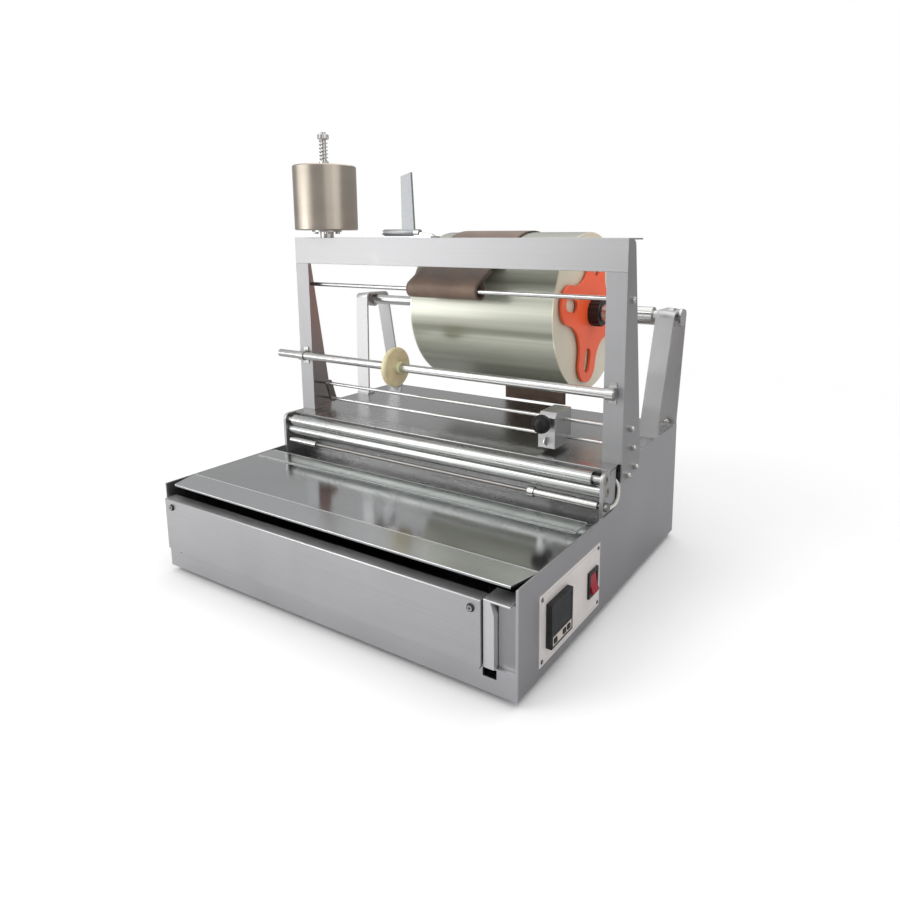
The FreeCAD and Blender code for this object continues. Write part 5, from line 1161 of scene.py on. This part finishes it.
@dataclass(frozen=True)
class Window:
    """A soft bright window in the room round the machine.

    Turn is its bearing in degrees, 0 in front of the machine and 90 at its right, and spread is half
    its width in degrees. Band holds the heights between which it is bright and fade how far it dims
    below and above them, all as the upward part of a heading. Core is the fully bright share of
    the width.
    """

    turn: float
    spread: float
    band: tuple[float, float]
    strength: float
    fade: tuple[float, float] = (0.06, 0.14)
    core: float = 0.5

    def glow(self, graph: Graph, heading: Channel) -> Channel:
        """The light that the window adds.

        Args:
            graph: The world's graph.
            heading: The direction that a ray leaves in.

        Returns:
            The light.
        """
        angle = math.radians(self.turn)
        aim = (math.sin(angle), -math.cos(angle), 0.0)
        facing = graph.node("ShaderNodeVectorMath", {"operation": "DOT_PRODUCT"}, {0: heading, 1: aim},
                            output="Value")
        rim, core = (math.cos(math.radians(self.spread * share)) for share in (1.0, self.core))
        sides = graph.ramp(facing, rim, core)
        height = graph.node("ShaderNodeSeparateXYZ", sockets={0: heading}, output="Z")
        (low, high), (below, above) = self.band, self.fade
        level = graph.ramp(height, low - below, low) * (1.0 - graph.ramp(height, high, high + above))
        return sides * level * self.strength


@dataclass
class Studio:
    """Floor, lamps, world and camera.

    Reach is half the floor's width, fade the distances over which it turns white, bench the colour
    that the machine mirrors of it, and room and ceiling the light from around and above.
    """

    focal: float = 27.63
    sensor: float = 36.0
    shift: tuple[float, float] = (-0.05449, -0.10131)
    place: Point = (0.57569, -0.77116, 0.44435)
    yaw: float = 0.553539
    pitch: float = 0.175051
    backdrop: Colour = (0.93, 0.93, 0.93)
    bench: Colour = (0.50, 0.50, 0.51)
    reach: float = 12.0
    fade: tuple[float, float] = (0.75, 1.7)
    aim: Point = (0.0, 0.0, 0.25)
    lamps: tuple[Lamp, ...] = (
        Lamp("key", (-1.3, -1.7, 1.9), 1.4, 22.0),
        Lamp("fill", (1.9, -1.1, 1.1), 1.6, 6.0),
        Lamp("top", (0.2, 0.5, 2.3), 3.0, 26.0),
        Lamp("low", (-1.1, -1.2, 0.22), 0.6, 3.2),
    )
    room: float = 0.38
    ceiling: float = 0.42
    ceiling_band: tuple[float, float] = (0.02, 0.85)
    windows: tuple[Window, ...] = (
        Window(-40.0, 36.0, (0.0, 0.15), 1.9),
        Window(88.0, 18.0, (-0.02, 0.30), 1.3),
    )

    def build(self) -> list[str]:
        """Make the stage.

        Returns:
            What was made.
        """
        self.floor()
        self.world()
        for lamp in self.lamps:
            lamp.light(self.aim)
        self.camera()
        return ["floor", "lamps", "camera"]

    def floor(self) -> None:
        """A wide pale floor that keeps the shadow and turns pure white away from the machine."""
        far = self.reach
        floor = mesh_object("floor", [(-far, -far, 0), (far, -far, 0), (far, far, 0), (-far, far, 0)],
                            [(0, 1, 2, 3)], False)
        material, graph, link = new_material("pale_floor", roughness=0.9)
        pale = graph.mix(graph.noise(3.0, 2.0), self.backdrop, shade(self.backdrop, 0.985))
        mirrored = graph.node("ShaderNodeLightPath", output="Is Glossy Ray")
        link(base_color=graph.mix(mirrored, pale, self.bench))
        shader = material.node_tree.nodes["Principled BSDF"]
        white = graph.node("ShaderNodeEmission", sockets={"Color": (1.0, 1.0, 1.0, 1.0), "Strength": 1.0})
        away = graph.ramp(graph.radius("XY", (0.0, 0.0)), *self.fade)
        seen = graph.node("ShaderNodeLightPath", output="Is Camera Ray")
        blend = graph.node("ShaderNodeMixShader", sockets={
            0: away * seen, 1: Channel(graph, shader.outputs[0]), 2: white})
        graph.tree.links.new(blend.socket, material.node_tree.nodes["Material Output"].inputs["Surface"])
        floor.data.materials.append(material)

    def world(self) -> None:
        """White for the camera, and for everything else a dim room with bright windows and ceiling."""
        world = bpy.data.worlds.new("studio")
        bpy.context.scene.world = world
        world.use_nodes = True
        graph = Graph(world.node_tree)
        seen = graph.node("ShaderNodeLightPath", output="Is Camera Ray")
        heading = graph.node("ShaderNodeTexCoord", output="Generated")
        height = graph.node("ShaderNodeSeparateXYZ", sockets={0: heading}, output="Z")
        room = self.room + graph.ramp(height, *self.ceiling_band) * self.ceiling
        for window in self.windows:
            room = room + window.glow(graph, heading)
        strength = seen + (1.0 - seen) * room
        light = graph.node("ShaderNodeBackground", sockets={"Color": (1.0, 1.0, 1.0, 1.0),
                                                            "Strength": strength})
        graph.node("ShaderNodeOutputWorld", sockets={"Surface": light})

    def camera(self) -> None:
        """The camera at the photograph's place and angle."""
        data = bpy.data.cameras.new("camera")
        data.sensor_width = self.sensor
        data.lens = self.focal
        data.shift_x, data.shift_y = self.shift
        camera = bpy.data.objects.new("camera", data)
        camera.location = self.place
        camera.rotation_euler = (math.pi / 2 - self.pitch, 0.0, self.yaw)
        bpy.context.scene.collection.objects.link(camera)
        bpy.context.scene.camera = camera


def main() -> None:
    """Build the stage and every sub-assembly, and log each piece that they make."""
    logging.basicConfig(level=logging.INFO, format="%(name)s: %(message)s")
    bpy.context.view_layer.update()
    bpy.context.scene.view_settings.view_transform = "Standard"
    for unit in (Studio(), Cabinet(), ControlPanel(), Gantry(), TapeUnit(), FilmUnit(), FeedUnit(), Inside()):
        for piece in unit.build():
            LOG.info("%s: %s", type(unit).__name__, piece)


if __name__ == "__main__":
    main()
